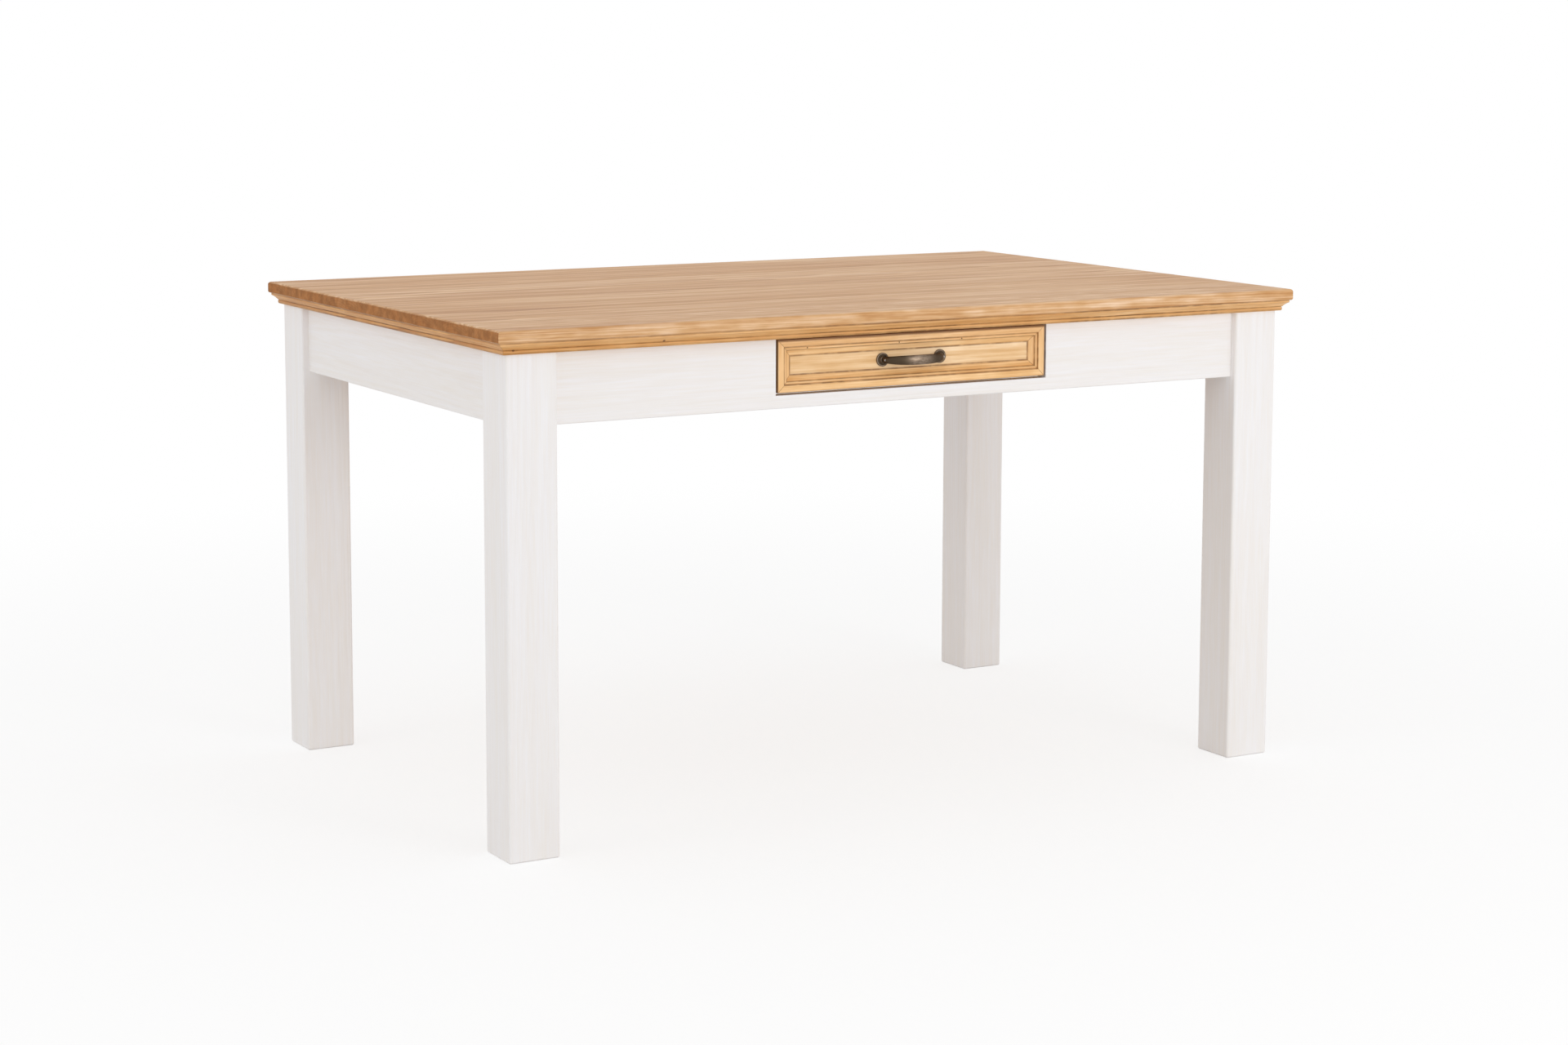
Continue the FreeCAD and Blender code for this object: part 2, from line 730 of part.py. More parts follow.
# Where each angle stands, the turn that faces it to its apron, and its step inwards.
ANGLE_SEATS = [
    (("-angle_offset", "apron_inner - leg_y"), 0, ("0", "1")),
    (("angle_offset", "apron_inner - leg_y"), 0, ("0", "1")),
    (("leg_x - apron_inner", "0"), 90, ("-1", "0")),
    (("angle_offset", "leg_y - apron_inner"), 180, ("0", "-1")),
    (("-angle_offset", "leg_y - apron_inner"), 180, ("0", "-1")),
    (("apron_inner - leg_x", "0"), 270, ("1", "0")),
]


def apron_side_screws():
    for (x, y), _, (in_x, in_y) in ANGLE_SEATS:
        head = (f"{x} + {in_x} * angle_thickness", f"{y} + {in_y} * angle_thickness")
        for hole in ANGLE_HOLES:
            yield (*head, f"leg_height - ({hole})"), along(float(in_x), float(in_y), 0)


def top_side_screws():
    for (x, y), _, (in_x, in_y) in ANGLE_SEATS:
        for hole in ANGLE_HOLES:
            spot = (f"{x} + {in_x} * ({hole})", f"{y} + {in_y} * ({hole})")
            yield (*spot, "leg_height - angle_thickness"), along(0, 0, -1)


angle_spots = [((x, y, "leg_height"), about_z(angle)) for (x, y), angle, _ in ANGLE_SEATS]
keep_group("top_angles", top_angle(), angle_spots)
angle_screw = wood_screw("angle_screw", "plate_screw_length + angle_thickness")
keep_group("angle_apron_screws", angle_screw, apron_side_screws())
strip_screw = wood_screw("strip_screw", "strip_screw_length + angle_thickness")
keep_group("angle_top_screws", strip_screw, top_side_screws())


# Drawer bearers: rails from the front apron to the back one, beside the drawer opening

RUNNER_SCREWS = ["runner_screw_margin", "runner_length / 2", "runner_length - runner_screw_margin"]
RUNNER_LEVEL = "runner_height / 2"


def bearer(side, way):
    body = plank(f"drawer_bearer_{side}", "bearer_thickness", "bearer_length", "bearer_height")
    spots = [("bearer_thickness / 2", f"bearer_height / 2 + {rise}") for rise in BEARER_DOWEL_RISE]
    hole, depth = "bearer_dowel_diameter + 2 * dowel_play", "bearer_dowel_length / 2 + dowel_end_play"
    drill(body, "XZ_Plane", spots, hole, depth)
    drill(body, "XZ_Plane", spots, hole, depth, shift="-bearer_length", backwards=True)
    bites = [(f"{y} + runner_setback", "bearer_height / 2") for y in RUNNER_SCREWS]
    inner = "0" if way > 0 else "bearer_thickness"
    drill(body, "YZ_Plane", bites, "runner_screw_diameter + 2 * screw_play", "runner_screw_bite + screw_play",
          shift=inner, backwards=way > 0)
    low_x = f"{way} * bearer_centre - bearer_thickness / 2"
    keep(body, (low_x, "apron_inner - leg_y", "opening_middle - bearer_height / 2"))


def bearer_dowel_spots():
    for end_y in ("apron_inner - leg_y", "leg_y - apron_inner"):
        for way in SIDES:
            for rise in BEARER_DOWEL_RISE:
                yield (f"{way} * bearer_centre", end_y, f"opening_middle + {rise}"), along(0, 1, 0)


bearer("left", -1)
bearer("right", 1)
bearer_dowel = dowel("bearer_dowel", "bearer_dowel_diameter", "bearer_dowel_length")
keep_group("bearer_dowels", bearer_dowel, bearer_dowel_spots())


# Runner strips: screwed to the bearers, they carry the drawer by the grooves in its sides

RUNNER_SINK = "(runner_screw_head - runner_screw_diameter) / 2"


def runner(side, way):
    body = plank(f"drawer_runner_{side}", "runner_depth", "runner_length", "runner_height")
    spots = [(y, RUNNER_LEVEL) for y in RUNNER_SCREWS]
    face = "runner_depth" if way < 0 else "0"
    drill(body, "YZ_Plane", spots, "runner_screw_diameter + 2 * screw_play", "runner_depth",
          shift=face, backwards=way > 0)
    drill(body, "YZ_Plane", spots, "runner_screw_head + 2 * screw_play", RUNNER_SINK,
          shift=face, backwards=way > 0)
    low_x = f"{way} * (drawer_opening_width - runner_depth) / 2 - runner_depth / 2"
    keep(body, (low_x, "runner_front", "opening_middle - runner_height / 2"))


def runner_screw():
    shank, head = "runner_screw_diameter / 2", "runner_screw_head / 2"
    length = "runner_depth + runner_screw_bite"
    return turned("runner_screw", [
        ("0", f"-({length})"),
        (shank, f"screw_point - ({length})"),
        (shank, f"-{RUNNER_SINK}"),
        (head, "0"),
        ("0", "0"),
    ])


def runner_screw_spots():
    for way in (-1, 1):
        x = f"{way} * (drawer_opening_width / 2 - runner_depth)"
        for y in RUNNER_SCREWS:
            yield (x, f"runner_front + {y}", "opening_middle"), along(-way, 0, 0)


runner("left", -1)
runner("right", 1)
keep_group("runner_screws", runner_screw(), runner_screw_spots())


# Drawer stops: blocks on the bearers behind the drawer sides

def drawer_stop(side, way):
    depth = "runner_gap + box_thickness"
    body = plank(f"drawer_stop_{side}", depth, "stop_length", "stop_height")
    low_x = f"{way} * (drawer_opening_width - ({depth})) / 2 - ({depth}) / 2"
    keep(body, (low_x, "box_rear + slide_play", "opening_middle - stop_height / 2"))


drawer_stop("left", -1)
drawer_stop("right", 1)


# Drawer front: a flat panel held in four mitred frame mouldings, with band, bead and cove

FRAME_STEP = "frame_thickness - frame_step"
FRAME_COVE_TOP = "frame_thickness - frame_step - frame_quirk"
FRAME_LIP = "frame_thickness - panel_recess + frame_lip"
FRAME_PROFILE = [
    ("frame_band", f"frame_thickness + {PAST}"),
    ("frame_band", FRAME_STEP),
    ("frame_band + frame_flat", FRAME_STEP, "-frame_bead_radius"),
    ("frame_band + frame_flat + frame_bead", FRAME_STEP),
    ("frame_band + frame_flat + frame_bead", FRAME_COVE_TOP, "frame_cove_radius"),
    ("frame_width", FRAME_LIP),
    (f"frame_width + {PAST}", FRAME_LIP),
    (f"frame_width + {PAST}", f"frame_thickness + {PAST}"),
]
PANEL_FRONT = "frame_thickness - panel_recess"
PANEL_SLOT = rectangle("frame_width - frame_panel_slot", f"{PANEL_FRONT} - panel_thickness - groove_play",
                       f"frame_width + {PAST}", PANEL_FRONT)
upright = Turn(V(1, 0, 0), 90)


def frame_moulding(side, length, x, z, angle, screws=()):
    body = mitred_strip(f"drawer_frame_{side}", length, "frame_width", "frame_thickness", FRAME_PROFILE)
    cut(body, "YZ_Plane", PANEL_SLOT, f"{length} + {PAST}", both_ways=True)
    if screws:
        spots = [(spot, "front_screw_edge") for spot in screws]
        drill(body, "XY_Plane", spots, "screw_diameter + 2 * screw_play",
              "front_screw_length - box_thickness + screw_play", backwards=True)
    keep(body, (x, "front_back", f"opening_middle + {z}"), upright.multiply(about_z(angle)))


front_screw_places = ["-front_screw_spread", "front_screw_spread"]
frame_moulding("bottom", "front_width", "0", "-front_height / 2", 0, front_screw_places)
frame_moulding("right", "front_height", "front_width / 2", "0", 90)
frame_moulding("top", "front_width", "0", "front_height / 2", 180, front_screw_places)
frame_moulding("left", "front_height", "-front_width / 2", "0", 270)

HANDLE_SPOTS = ["-handle_spacing / 2", "handle_spacing / 2"]
HANDLE_HOLE = "handle_screw_diameter + 2 * bolt_hole_play"
panel_width = "front_width - 2 * (frame_width - panel_tongue)"
panel_height = "front_height - 2 * (frame_width - panel_tongue)"
panel = plank("drawer_panel", panel_width, "panel_thickness", panel_height)
panel_spots = [(f"({panel_width}) / 2 + {x}", f"({panel_height}) / 2") for x in HANDLE_SPOTS]
drill(panel, "XZ_Plane", panel_spots, HANDLE_HOLE, "panel_thickness")
keep(panel, (f"-({panel_width}) / 2", "panel_face", f"opening_middle - ({panel_height}) / 2"))


# Drawer box: sides grooved for the runners, inner front and back between them, bottom in grooves

BOX_DOWEL_LEVELS = ["box_height / 2 - box_dowel_spacing / 2", "box_height / 2 + box_dowel_spacing / 2"]
BOX_DOWEL_HOLE = "box_dowel_diameter + 2 * dowel_play"
BOTTOM_DEPTH = "bottom_tongue + groove_play"


def bottom_groove(face, way):
    """Corners of the slot for the bottom, cut into a face and running up that face."""
    floor = f"{face} - {way} * ({BOTTOM_DEPTH})"
    roof = "bottom_height + bottom_slot"
    return [(face, "bottom_height"), (floor, "bottom_height"), (floor, roof), (face, roof)]


def drawer_side(side, way):
    """Section across the side, drawn from the outer face inwards."""
    body = new_body(f"drawer_side_{side}")
    inner = f"{-way} * box_thickness"
    groove = f"{-way} * runner_groove_depth"
    roof = "runner_low + runner_height + slide_play"
    low = "runner_low - 2 * slide_play"
    section = [
        ("0", "0"),
        (inner, "0"),
        *bottom_groove(inner, -way),
        (inner, "box_height"),
        ("0", "box_height"),
        ("0", roof),
        (groove, roof),
        (groove, low),
        ("0", low),
    ]
    pad(body, "XZ_Plane", section, "drawer_depth", backwards=True)
    ends = ["box_thickness / 2", "drawer_depth - box_thickness / 2"]
    spots = [(y, level) for y in ends for level in BOX_DOWEL_LEVELS]
    drill(body, "YZ_Plane", spots, BOX_DOWEL_HOLE, "box_thickness", backwards=way < 0)
    keep(body, (f"{way} * box_width / 2", "front_back", "box_bottom"))


def box_end(label, face, way, at_y):
    """Inner front or back: its section is drawn from the outside face, with the bottom slot inside."""
    body = new_body(label)
    section = [("0", "0"), (face, "0"), *bottom_groove(face, way), (face, "box_height"), ("0", "box_height")]
    pad(body, "YZ_Plane", section, "box_inner_width", both_ways=True)
    depth = "box_dowel_length - box_thickness + dowel_end_play"
    spots = [(f"{face} / 2", level) for level in BOX_DOWEL_LEVELS]
    drill(body, "YZ_Plane", spots, BOX_DOWEL_HOLE, depth, shift="box_inner_width / 2")
    drill(body, "YZ_Plane", spots, BOX_DOWEL_HOLE, depth, shift="-box_inner_width / 2", backwards=True)
    return keep(body, ("0", at_y, "box_bottom"))


drawer_side("left", -1)
drawer_side("right", 1)
inner_front = box_end("drawer_inner_front", "box_thickness", 1, "front_back")
box_end("drawer_back", "-box_thickness", -1, "box_rear")
screw_spots = [(x, f"box_height / 2 + {way} * front_screw_rise") for x in front_screw_places for way in SIDES]
drill(inner_front, "XZ_Plane", screw_spots, "screw_diameter + 2 * bolt_hole_play", "box_thickness")
drill(inner_front, "XZ_Plane", [(x, "box_height / 2") for x in HANDLE_SPOTS], HANDLE_HOLE, "box_thickness")

bottom_width = "box_inner_width + 2 * bottom_tongue"
bottom_length = "drawer_depth - 2 * (box_thickness - bottom_tongue)"
drawer_bottom = plank("drawer_bottom", bottom_width, bottom_length, "bottom_thickness")
keep(drawer_bottom, (f"-({bottom_width}) / 2", "front_back + box_thickness - bottom_tongue",
                     "box_bottom + bottom_height"))


def box_dowel_spots():
    for way in SIDES:
        for y in ("front_back + box_thickness / 2", "box_rear - box_thickness / 2"):
            for level in BOX_DOWEL_LEVELS:
                x = f"{way} * (box_width - box_dowel_length) / 2"
                yield (x, y, f"box_bottom + {level}"), along(1, 0, 0)


keep_group("drawer_dowels", dowel("box_dowel", "box_dowel_diameter", "box_dowel_length"), box_dowel_spots())

front_screw = wood_screw("front_screw", "front_screw_length")
screw_head_y = "front_back + box_thickness"
front_screw_spots = [((x, screw_head_y, f"opening_middle + {way} * front_screw_rise"), along(0, 1, 0))
                     for x in front_screw_places for way in SIDES]
keep_group("drawer_front_screws", front_screw, front_screw_spots)


# Handle: a bow that swells to its middle, on two stepped rosettes, held by screws from inside the drawer

def rosette(side, x):
    radius, hole = "rosette_diameter / 2", f"({HANDLE_HOLE}) / 2"
    body = turned(f"handle_rosette_{side}", [
        (hole, "0"),
        (radius, "0"),
        (radius, "rosette_height * 0.4"),
        (f"{radius} * 0.86", "rosette_height * 0.6"),
        (f"{radius} * 0.7", "rosette_height * 0.6"),
        (f"{radius} * 0.56", "rosette_height"),
        (hole, "rosette_height"),
    ])
    keep(body, (x, "panel_face", "opening_middle"), along(0, -1, 0))


def handle_bow():
    """Loft through ellipses along half of an ellipse in plan, bored at both feet for the screws."""
    half, reach = number("handle_spacing / 2"), number("handle_reach")
    sections = []
    for index in range(BOW_SECTIONS):
        angle = math.pi * index / (BOW_SECTIONS - 1)
        swell = math.sin(angle) ** 2
        ellipse = doc.addObject("Part::Ellipse", "bow_section")
        height = f"bow_foot_height + (bow_middle_height - bow_foot_height) * {swell:.6f}"
        thickness = f"bow_foot_thickness + (bow_middle_thickness - bow_foot_thickness) * {swell:.6f}"
        bind(ellipse, MajorRadius=f"({height}) / 2", MinorRadius=f"({thickness}) / 2")
        way = V(half * math.sin(angle), -reach * math.cos(angle), 0)
        facing = Turn(V(0, 0, 1), V(), way, "XZY")
        at = (f"{-math.cos(angle):.6f} * handle_spacing / 2",
              f"rosette_face - {math.sin(angle):.6f} * handle_reach", "opening_middle")
        place(ellipse, at, facing)
        sections.append(ellipse)
    loft = doc.addObject("Part::Loft", "bow_loft")
    loft.Sections = sections
    loft.Solid = True
    holes = []
    for x in HANDLE_SPOTS:
        hole = doc.addObject("Part::Cylinder", "bow_hole")
        bind(hole, Radius="handle_screw_diameter / 2 + screw_play",
             Height="handle_screw_bite + dowel_end_play")
        place(hole, (x, "rosette_face", "opening_middle"), along(0, -1, 0))
        holes.append(hole)
    both = doc.addObject("Part::MultiFuse", "bow_holes")
    both.Shapes = holes
    bow = doc.addObject("Part::Cut", "handle_bow")
    bow.Base = loft
    bow.Tool = both
    bow.Label = "handle_bow"
    subparts.append(bow)


def handle_screw():
    shank = "handle_screw_diameter / 2"
    return turned("handle_screw", [
        ("0", "-handle_screw_length"),
        (shank, "-handle_screw_length"),
        (shank, "0"),
        ("handle_screw_diameter", "0"),
        ("handle_screw_diameter", "screw_head_height / 2"),
        (shank, "screw_head_height"),
        ("0", "screw_head_height"),
    ])


rosette("left", HANDLE_SPOTS[0])
rosette("right", HANDLE_SPOTS[1])
handle_bow()
handle_screw_spots = [((x, screw_head_y, "opening_middle"), along(0, 1, 0)) for x in HANDLE_SPOTS]
keep_group("handle_screws", handle_screw(), handle_screw_spots)


# Check every object, then write one file for each sub-part

doc.recompute()
failed = [item.Label for item in doc.Objects if {"Invalid", "Error"} & set(item.State)]
broken = [item.Label for item in subparts if item.Shape.isNull() or not item.Shape.isValid()]
if failed or broken:
    raise ValueError(f"failed objects {failed}, broken shapes {broken}")
os.makedirs("parts", exist_ok=True)
for item in subparts:
    item.Shape.exportStep(os.path.join("parts", item.Label + ".step"))
    print(f"{item.Label}: {len(item.Shape.Solids)} solid(s), {item.Shape.Volume / 1000:.1f} cm3")
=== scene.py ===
# %% [markdown]
# # A country dining table with one drawer
# The table is joiner's work: eight pine boards glued into a top, a mitred moulding under it, four
# square legs and four aprons stained white, and a drawer with a framed front. All of these pieces come
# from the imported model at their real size, so this lesson is mostly about finish: what each kind of
# timber and metal looks like, and how shader nodes can grow it. Only the handle is modelled again.

# %% Load the table
import math
import random

import bmesh
import bpy
from mathutils import Matrix, Vector


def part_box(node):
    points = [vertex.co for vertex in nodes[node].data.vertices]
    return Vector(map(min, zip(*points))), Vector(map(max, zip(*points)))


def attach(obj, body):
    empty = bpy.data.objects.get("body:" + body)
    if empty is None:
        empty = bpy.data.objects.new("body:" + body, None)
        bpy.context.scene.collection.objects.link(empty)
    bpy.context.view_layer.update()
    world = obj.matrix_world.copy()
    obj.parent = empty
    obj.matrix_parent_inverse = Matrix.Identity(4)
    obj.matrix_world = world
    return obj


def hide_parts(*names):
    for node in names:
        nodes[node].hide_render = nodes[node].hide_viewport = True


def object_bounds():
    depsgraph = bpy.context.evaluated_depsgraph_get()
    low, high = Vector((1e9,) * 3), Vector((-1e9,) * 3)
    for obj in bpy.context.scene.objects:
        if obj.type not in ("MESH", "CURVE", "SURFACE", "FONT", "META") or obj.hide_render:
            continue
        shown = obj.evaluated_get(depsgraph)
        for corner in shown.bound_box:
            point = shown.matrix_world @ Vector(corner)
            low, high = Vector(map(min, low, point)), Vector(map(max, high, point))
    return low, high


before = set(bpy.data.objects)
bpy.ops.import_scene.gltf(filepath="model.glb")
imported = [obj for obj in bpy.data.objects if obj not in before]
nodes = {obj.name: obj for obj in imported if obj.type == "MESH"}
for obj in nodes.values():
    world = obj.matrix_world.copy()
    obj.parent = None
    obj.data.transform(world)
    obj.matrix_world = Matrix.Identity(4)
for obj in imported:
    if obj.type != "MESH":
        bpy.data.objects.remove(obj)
CAD_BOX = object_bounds()
TABLE_LENGTH, TABLE_WIDTH, TABLE_HEIGHT = CAD_BOX[1] - CAD_BOX[0]
print(f"{len(nodes)} pieces, {TABLE_LENGTH:.3f} x {TABLE_WIDTH:.3f} x {TABLE_HEIGHT:.3f} m")

# %% [markdown]
# ## The camera
# The picture of the table was taken from in front and to the left, a little above the top. A camera in
# Blender looks down its own -Z axis, so it is first tipped up to look along +Y, then turned. The lens
# is long, which keeps the legs almost parallel. The picture's frame isn't centred on the lens, and a
# small shift of the lens gives the same framing without tilting the legs.

# %% Set up the camera
CAMERA_PLACE = Vector((-2.465, -4.317, 1.2072))
CAMERA_TURN = math.radians(30.173)
CAMERA_TIP_DOWN = math.radians(7.224)
CAMERA_ROLL = math.radians(0.19)

camera_data = bpy.data.cameras.new("table_camera")
camera_data.sensor_width = 36.0
camera_data.lens = 70.63
camera_data.shift_x = -0.0104
camera_data.shift_y = -0.078
camera = bpy.data.objects.new("table_camera", camera_data)
bpy.context.scene.collection.objects.link(camera)
camera.matrix_world = (
    Matrix.Translation(CAMERA_PLACE)
    @ Matrix.Rotation(-CAMERA_TURN, 4, "Z")
    @ Matrix.Rotation(math.radians(90) - CAMERA_TIP_DOWN, 4, "X")
    @ Matrix.Rotation(CAMERA_ROLL, 4, "Z")
)
bpy.context.scene.camera = camera
bpy.context.scene.view_settings.view_transform = "Standard"
print(f"camera {CAMERA_PLACE.length:.2f} m from the table's origin, lens {camera_data.lens} mm")

# %% [markdown]
# ## A short way to write nodes
# A material is a small machine of nodes. Written out in full, each node takes several lines for its
# settings and links. These helpers add one node each, or two, and all but the first give back the
# socket that holds the result, so a material below reads almost like arithmetic.

# %% Node helpers
def add(tree, kind, inputs=None, **settings):
    """Adds a shader node, then sets its properties and fills or links its inputs."""
    node = tree.nodes.new("ShaderNode" + kind)
    for name, value in settings.items():
        setattr(node, name, value)
    for socket, value in (inputs or {}).items():
        if isinstance(value, bpy.types.NodeSocket):
            tree.links.new(value, node.inputs[socket])
        else:
            node.inputs[socket].default_value = value
    return node


def maths(tree, operation, *values):
    return add(tree, "Math", dict(enumerate(values)), operation=operation).outputs[0]


def vectors(tree, operation, *values):
    return add(tree, "VectorMath", dict(enumerate(values)), operation=operation).outputs[0]


def length_of(tree, vector):
    return add(tree, "VectorMath", {0: vector}, operation="LENGTH").outputs["Value"]


def along_axis(tree, vector, axis):
    return add(tree, "SeparateXYZ", {0: vector}).outputs[axis]


def noise(tree, vector, scale, detail=2.0, roughness=0.5):
    """Cloudy noise from 0 to 1, drawn out or packed together along each axis by the scale."""
    inputs = {"Vector": vectors(tree, "MULTIPLY", vector, scale), "Scale": 1.0}
    inputs.update({"Detail": detail, "Roughness": roughness})
    return add(tree, "TexNoise", inputs).outputs["Fac"]


def spread(tree, value, low, high, to_low, to_high):
    """Maps low to high onto another range, with soft ends and nothing beyond them."""
    inputs = {0: value, 1: low, 2: high, 3: to_low, 4: to_high}
    return add(tree, "MapRange", inputs, interpolation_type="SMOOTHSTEP").outputs[0]


def mixed(tree, factor, first, second, mode="MIX"):
    """Two colours mixed, or with mode MULTIPLY one shaded by the other."""
    node = add(tree, "Mix", data_type="RGBA", blend_type=mode)
    for index, value in ((0, factor), (6, first), (7, second)):
        if isinstance(value, bpy.types.NodeSocket):
            tree.links.new(value, node.inputs[index])
        else:
            node.inputs[index].default_value = value if index == 0 else (*value, 1.0)
    return node.outputs[2]


print("node helpers ready")

# %% [markdown]
# ## Both ends of a material
# Every finish on the table starts as an empty tree and ends in one Principled shader, which can be
# timber as well as metal. So both ends of a material have a helper too.

# %% Start and end a material
def new_material(name):
    material = bpy.data.materials.new(name)
    material.use_nodes = True
    material.node_tree.nodes.clear()
    return material, material.node_tree


def finish_surface(tree, **inputs):
    """Ends a material in one Principled shader. Its inputs are named with _ for each space."""
    inputs = {name.replace("_", " "): value for name, value in inputs.items()}
    shader = add(tree, "BsdfPrincipled", inputs)
    add(tree, "OutputMaterial", {"Surface": shader.outputs[0]})


print("material helpers ready")

# %% [markdown]
# ## A white room
# The table stands in a white studio, where light comes from everywhere, a little less from above. The
# world gives this soft light. What the camera and the metal see of the world is plain white: a Light
# Path node tells the rays that look from the rays that only carry light.

# %% Paint the world white
PURE_WHITE = (1.0, 1.0, 1.0, 1.0)
SKY_LIGHT = 0.68
HORIZON_LIGHT = 1.04
# where the light of the sky is reached, on the way from 0 at the horizon to 1 straight above
SKY_HEIGHT = 0.9


def seen_directly(tree):
    """1 for what the camera sees, also in a mirror or through glass, and 0 for other light."""
    rays = add(tree, "LightPath").outputs
    direct = maths(tree, "MAXIMUM", rays["Is Camera Ray"], rays["Is Glossy Ray"])
    return maths(tree, "MAXIMUM", direct, rays["Is Transmission Ray"])


def white_studio():
    world = bpy.data.worlds.new("white_studio")
    world.use_nodes = True
    tree = world.node_tree
    tree.nodes.clear()
    height = along_axis(tree, add(tree, "TexCoord").outputs["Generated"], "Z")
    level = spread(tree, height, 0.0, SKY_HEIGHT, HORIZON_LIGHT, SKY_LIGHT)
    lit = add(tree, "Background", {"Color": PURE_WHITE, "Strength": level})
    seen = add(tree, "Background", {"Color": PURE_WHITE, "Strength": 1.0})
    both = add(tree, "MixShader", {0: seen_directly(tree), 1: lit.outputs[0], 2: seen.outputs[0]})
    add(tree, "OutputWorld", {"Surface": both.outputs[0]})
    bpy.context.scene.world = world


white_studio()
print(f"white world, {HORIZON_LIGHT} at the horizon and {SKY_LIGHT} above")

# %% [markdown]
# ## The floor
# The floor is pale and keeps the soft shadow of the table. Next to the white world a painted floor
# would look grey, so what the camera sees is a fainter paint, which still takes the shadow, with a glow
# added to it. Further out the floor fades to the white of the world, so that no line shows where it
# ends.

# %% Lay the floor
FLOOR_SIZE = 60.0
FLOOR_PAINT = (0.82, 0.82, 0.82, 1.0)
FLOOR_FAINT_PAINT = (0.355, 0.355, 0.355, 1.0)
FLOOR_GLOW = 0.68
FLOOR_FADE = (1.2, 3.0)


def floor_finish():
    material, tree = new_material("pale_floor")
    paint = add(tree, "BsdfDiffuse", {"Color": FLOOR_PAINT})
    faint = add(tree, "BsdfDiffuse", {"Color": FLOOR_FAINT_PAINT})
    glow = add(tree, "Emission", {"Color": PURE_WHITE, "Strength": FLOOR_GLOW})
    close = add(tree, "AddShader", {0: faint.outputs[0], 1: glow.outputs[0]})
    far = add(tree, "Emission", {"Color": PURE_WHITE, "Strength": 1.0})
    away = length_of(tree, add(tree, "TexCoord").outputs["Object"])
    fade = spread(tree, away, *FLOOR_FADE, 0.0, 1.0)
    seen = add(tree, "MixShader", {0: fade, 1: close.outputs[0], 2: far.outputs[0]})
    both = add(tree, "MixShader", {0: seen_directly(tree), 1: paint.outputs[0], 2: seen.outputs[0]})
    add(tree, "OutputMaterial", {"Surface": both.outputs[0]})
    return material


def pale_floor():
    sheet = bmesh.new()
    bmesh.ops.create_grid(sheet, x_segments=1, y_segments=1, size=FLOOR_SIZE / 2)
    mesh = bpy.data.meshes.new("studio_floor")
    sheet.to_mesh(mesh)
    sheet.free()
    mesh.materials.append(floor_finish())
    floor = bpy.data.objects.new("studio_floor", mesh)
    bpy.context.scene.collection.objects.link(floor)


pale_floor()
print(f"pale floor, all white from {FLOOR_FADE[1]} m")

# %% [markdown]
# ## Two lamps
# Two wide lamps, hung low so that they reach under the top, make the front a little brighter than the
# ends. A lamp as wide as this draws no hard shadow.

# %% Hang the lamps
LAMP_WIDTH = 1.8
# where each lamp hangs, where it points, and its power in watts
LAMPS = {
    "front_lamp": ((1.1, -4.2, 0.95), (0.1, 0.0, 0.55), 31.0),
    "left_lamp": ((-4.2, -0.4, 0.95), (0.0, 0.0, 0.55), 11.0),
}


def wide_lamp(name, place, target, power):
    data = bpy.data.lights.new(name, "AREA")
    data.shape = "DISK"
    data.size = LAMP_WIDTH
    data.energy = power
    lamp = bpy.data.objects.new(name, data)
    lamp.location = place
    lamp.rotation_euler = (Vector(target) - Vector(place)).to_track_quat("-Z", "Y").to_euler()
    bpy.context.scene.collection.objects.link(lamp)


for lamp_name, (place, target, power) in LAMPS.items():
    wide_lamp(lamp_name, place, target, power)
print(f"{len(LAMPS)} lamps, {LAMP_WIDTH} m wide")

# %% [markdown]
# ## How pine grows
# Pine gets its figure from its rings: each year a broad pale band and then a thin dark line. A board is
# a slice of that round log, so the honest way to draw it is in three dimensions: measure how far each
# point is from the heart of the log, count the rings, and let the saw decide what shows. Long faces
# then get stripes and arches, and the ends get the curved lines of end grain, with no picture mapped on
# anywhere. The log isn't perfect, so slow noise bends it along its length, and the rings fade here and
# there.

# %% Count the rings
BEND_SCALE = (1.7, 8.0, 8.0)
BEND_DETAIL = 3.0
NOISE_MEAN = (0.5, 0.5, 0.5)
ACROSS_GRAIN = (0.0, 1.0, 1.0)
TAPER = 0.012
RING_UNEVENNESS = 1.6
YEARS_SCALE = 0.4
DARKENING = (0.2, 0.9)
YEAR_END = (0.92, 1.0)
FADING_SCALE = (0.9, 16.0, 16.0)
FAINTEST_RING = 0.35
NOISE_MIDDLE = (0.35, 0.65)


def bent(tree, place, wander):
    """The place in the log, moved by slow waves."""
    wave = {"Vector": vectors(tree, "MULTIPLY", place, BEND_SCALE), "Scale": 1.0, "Detail": BEND_DETAIL}
    wave = add(tree, "TexNoise", wave).outputs["Color"]
    wave = vectors(tree, "SUBTRACT", wave, NOISE_MEAN)
    wave = add(tree, "VectorMath", {0: wave, "Scale": wander}, operation="SCALE").outputs[0]
    return vectors(tree, "ADD", place, wave)


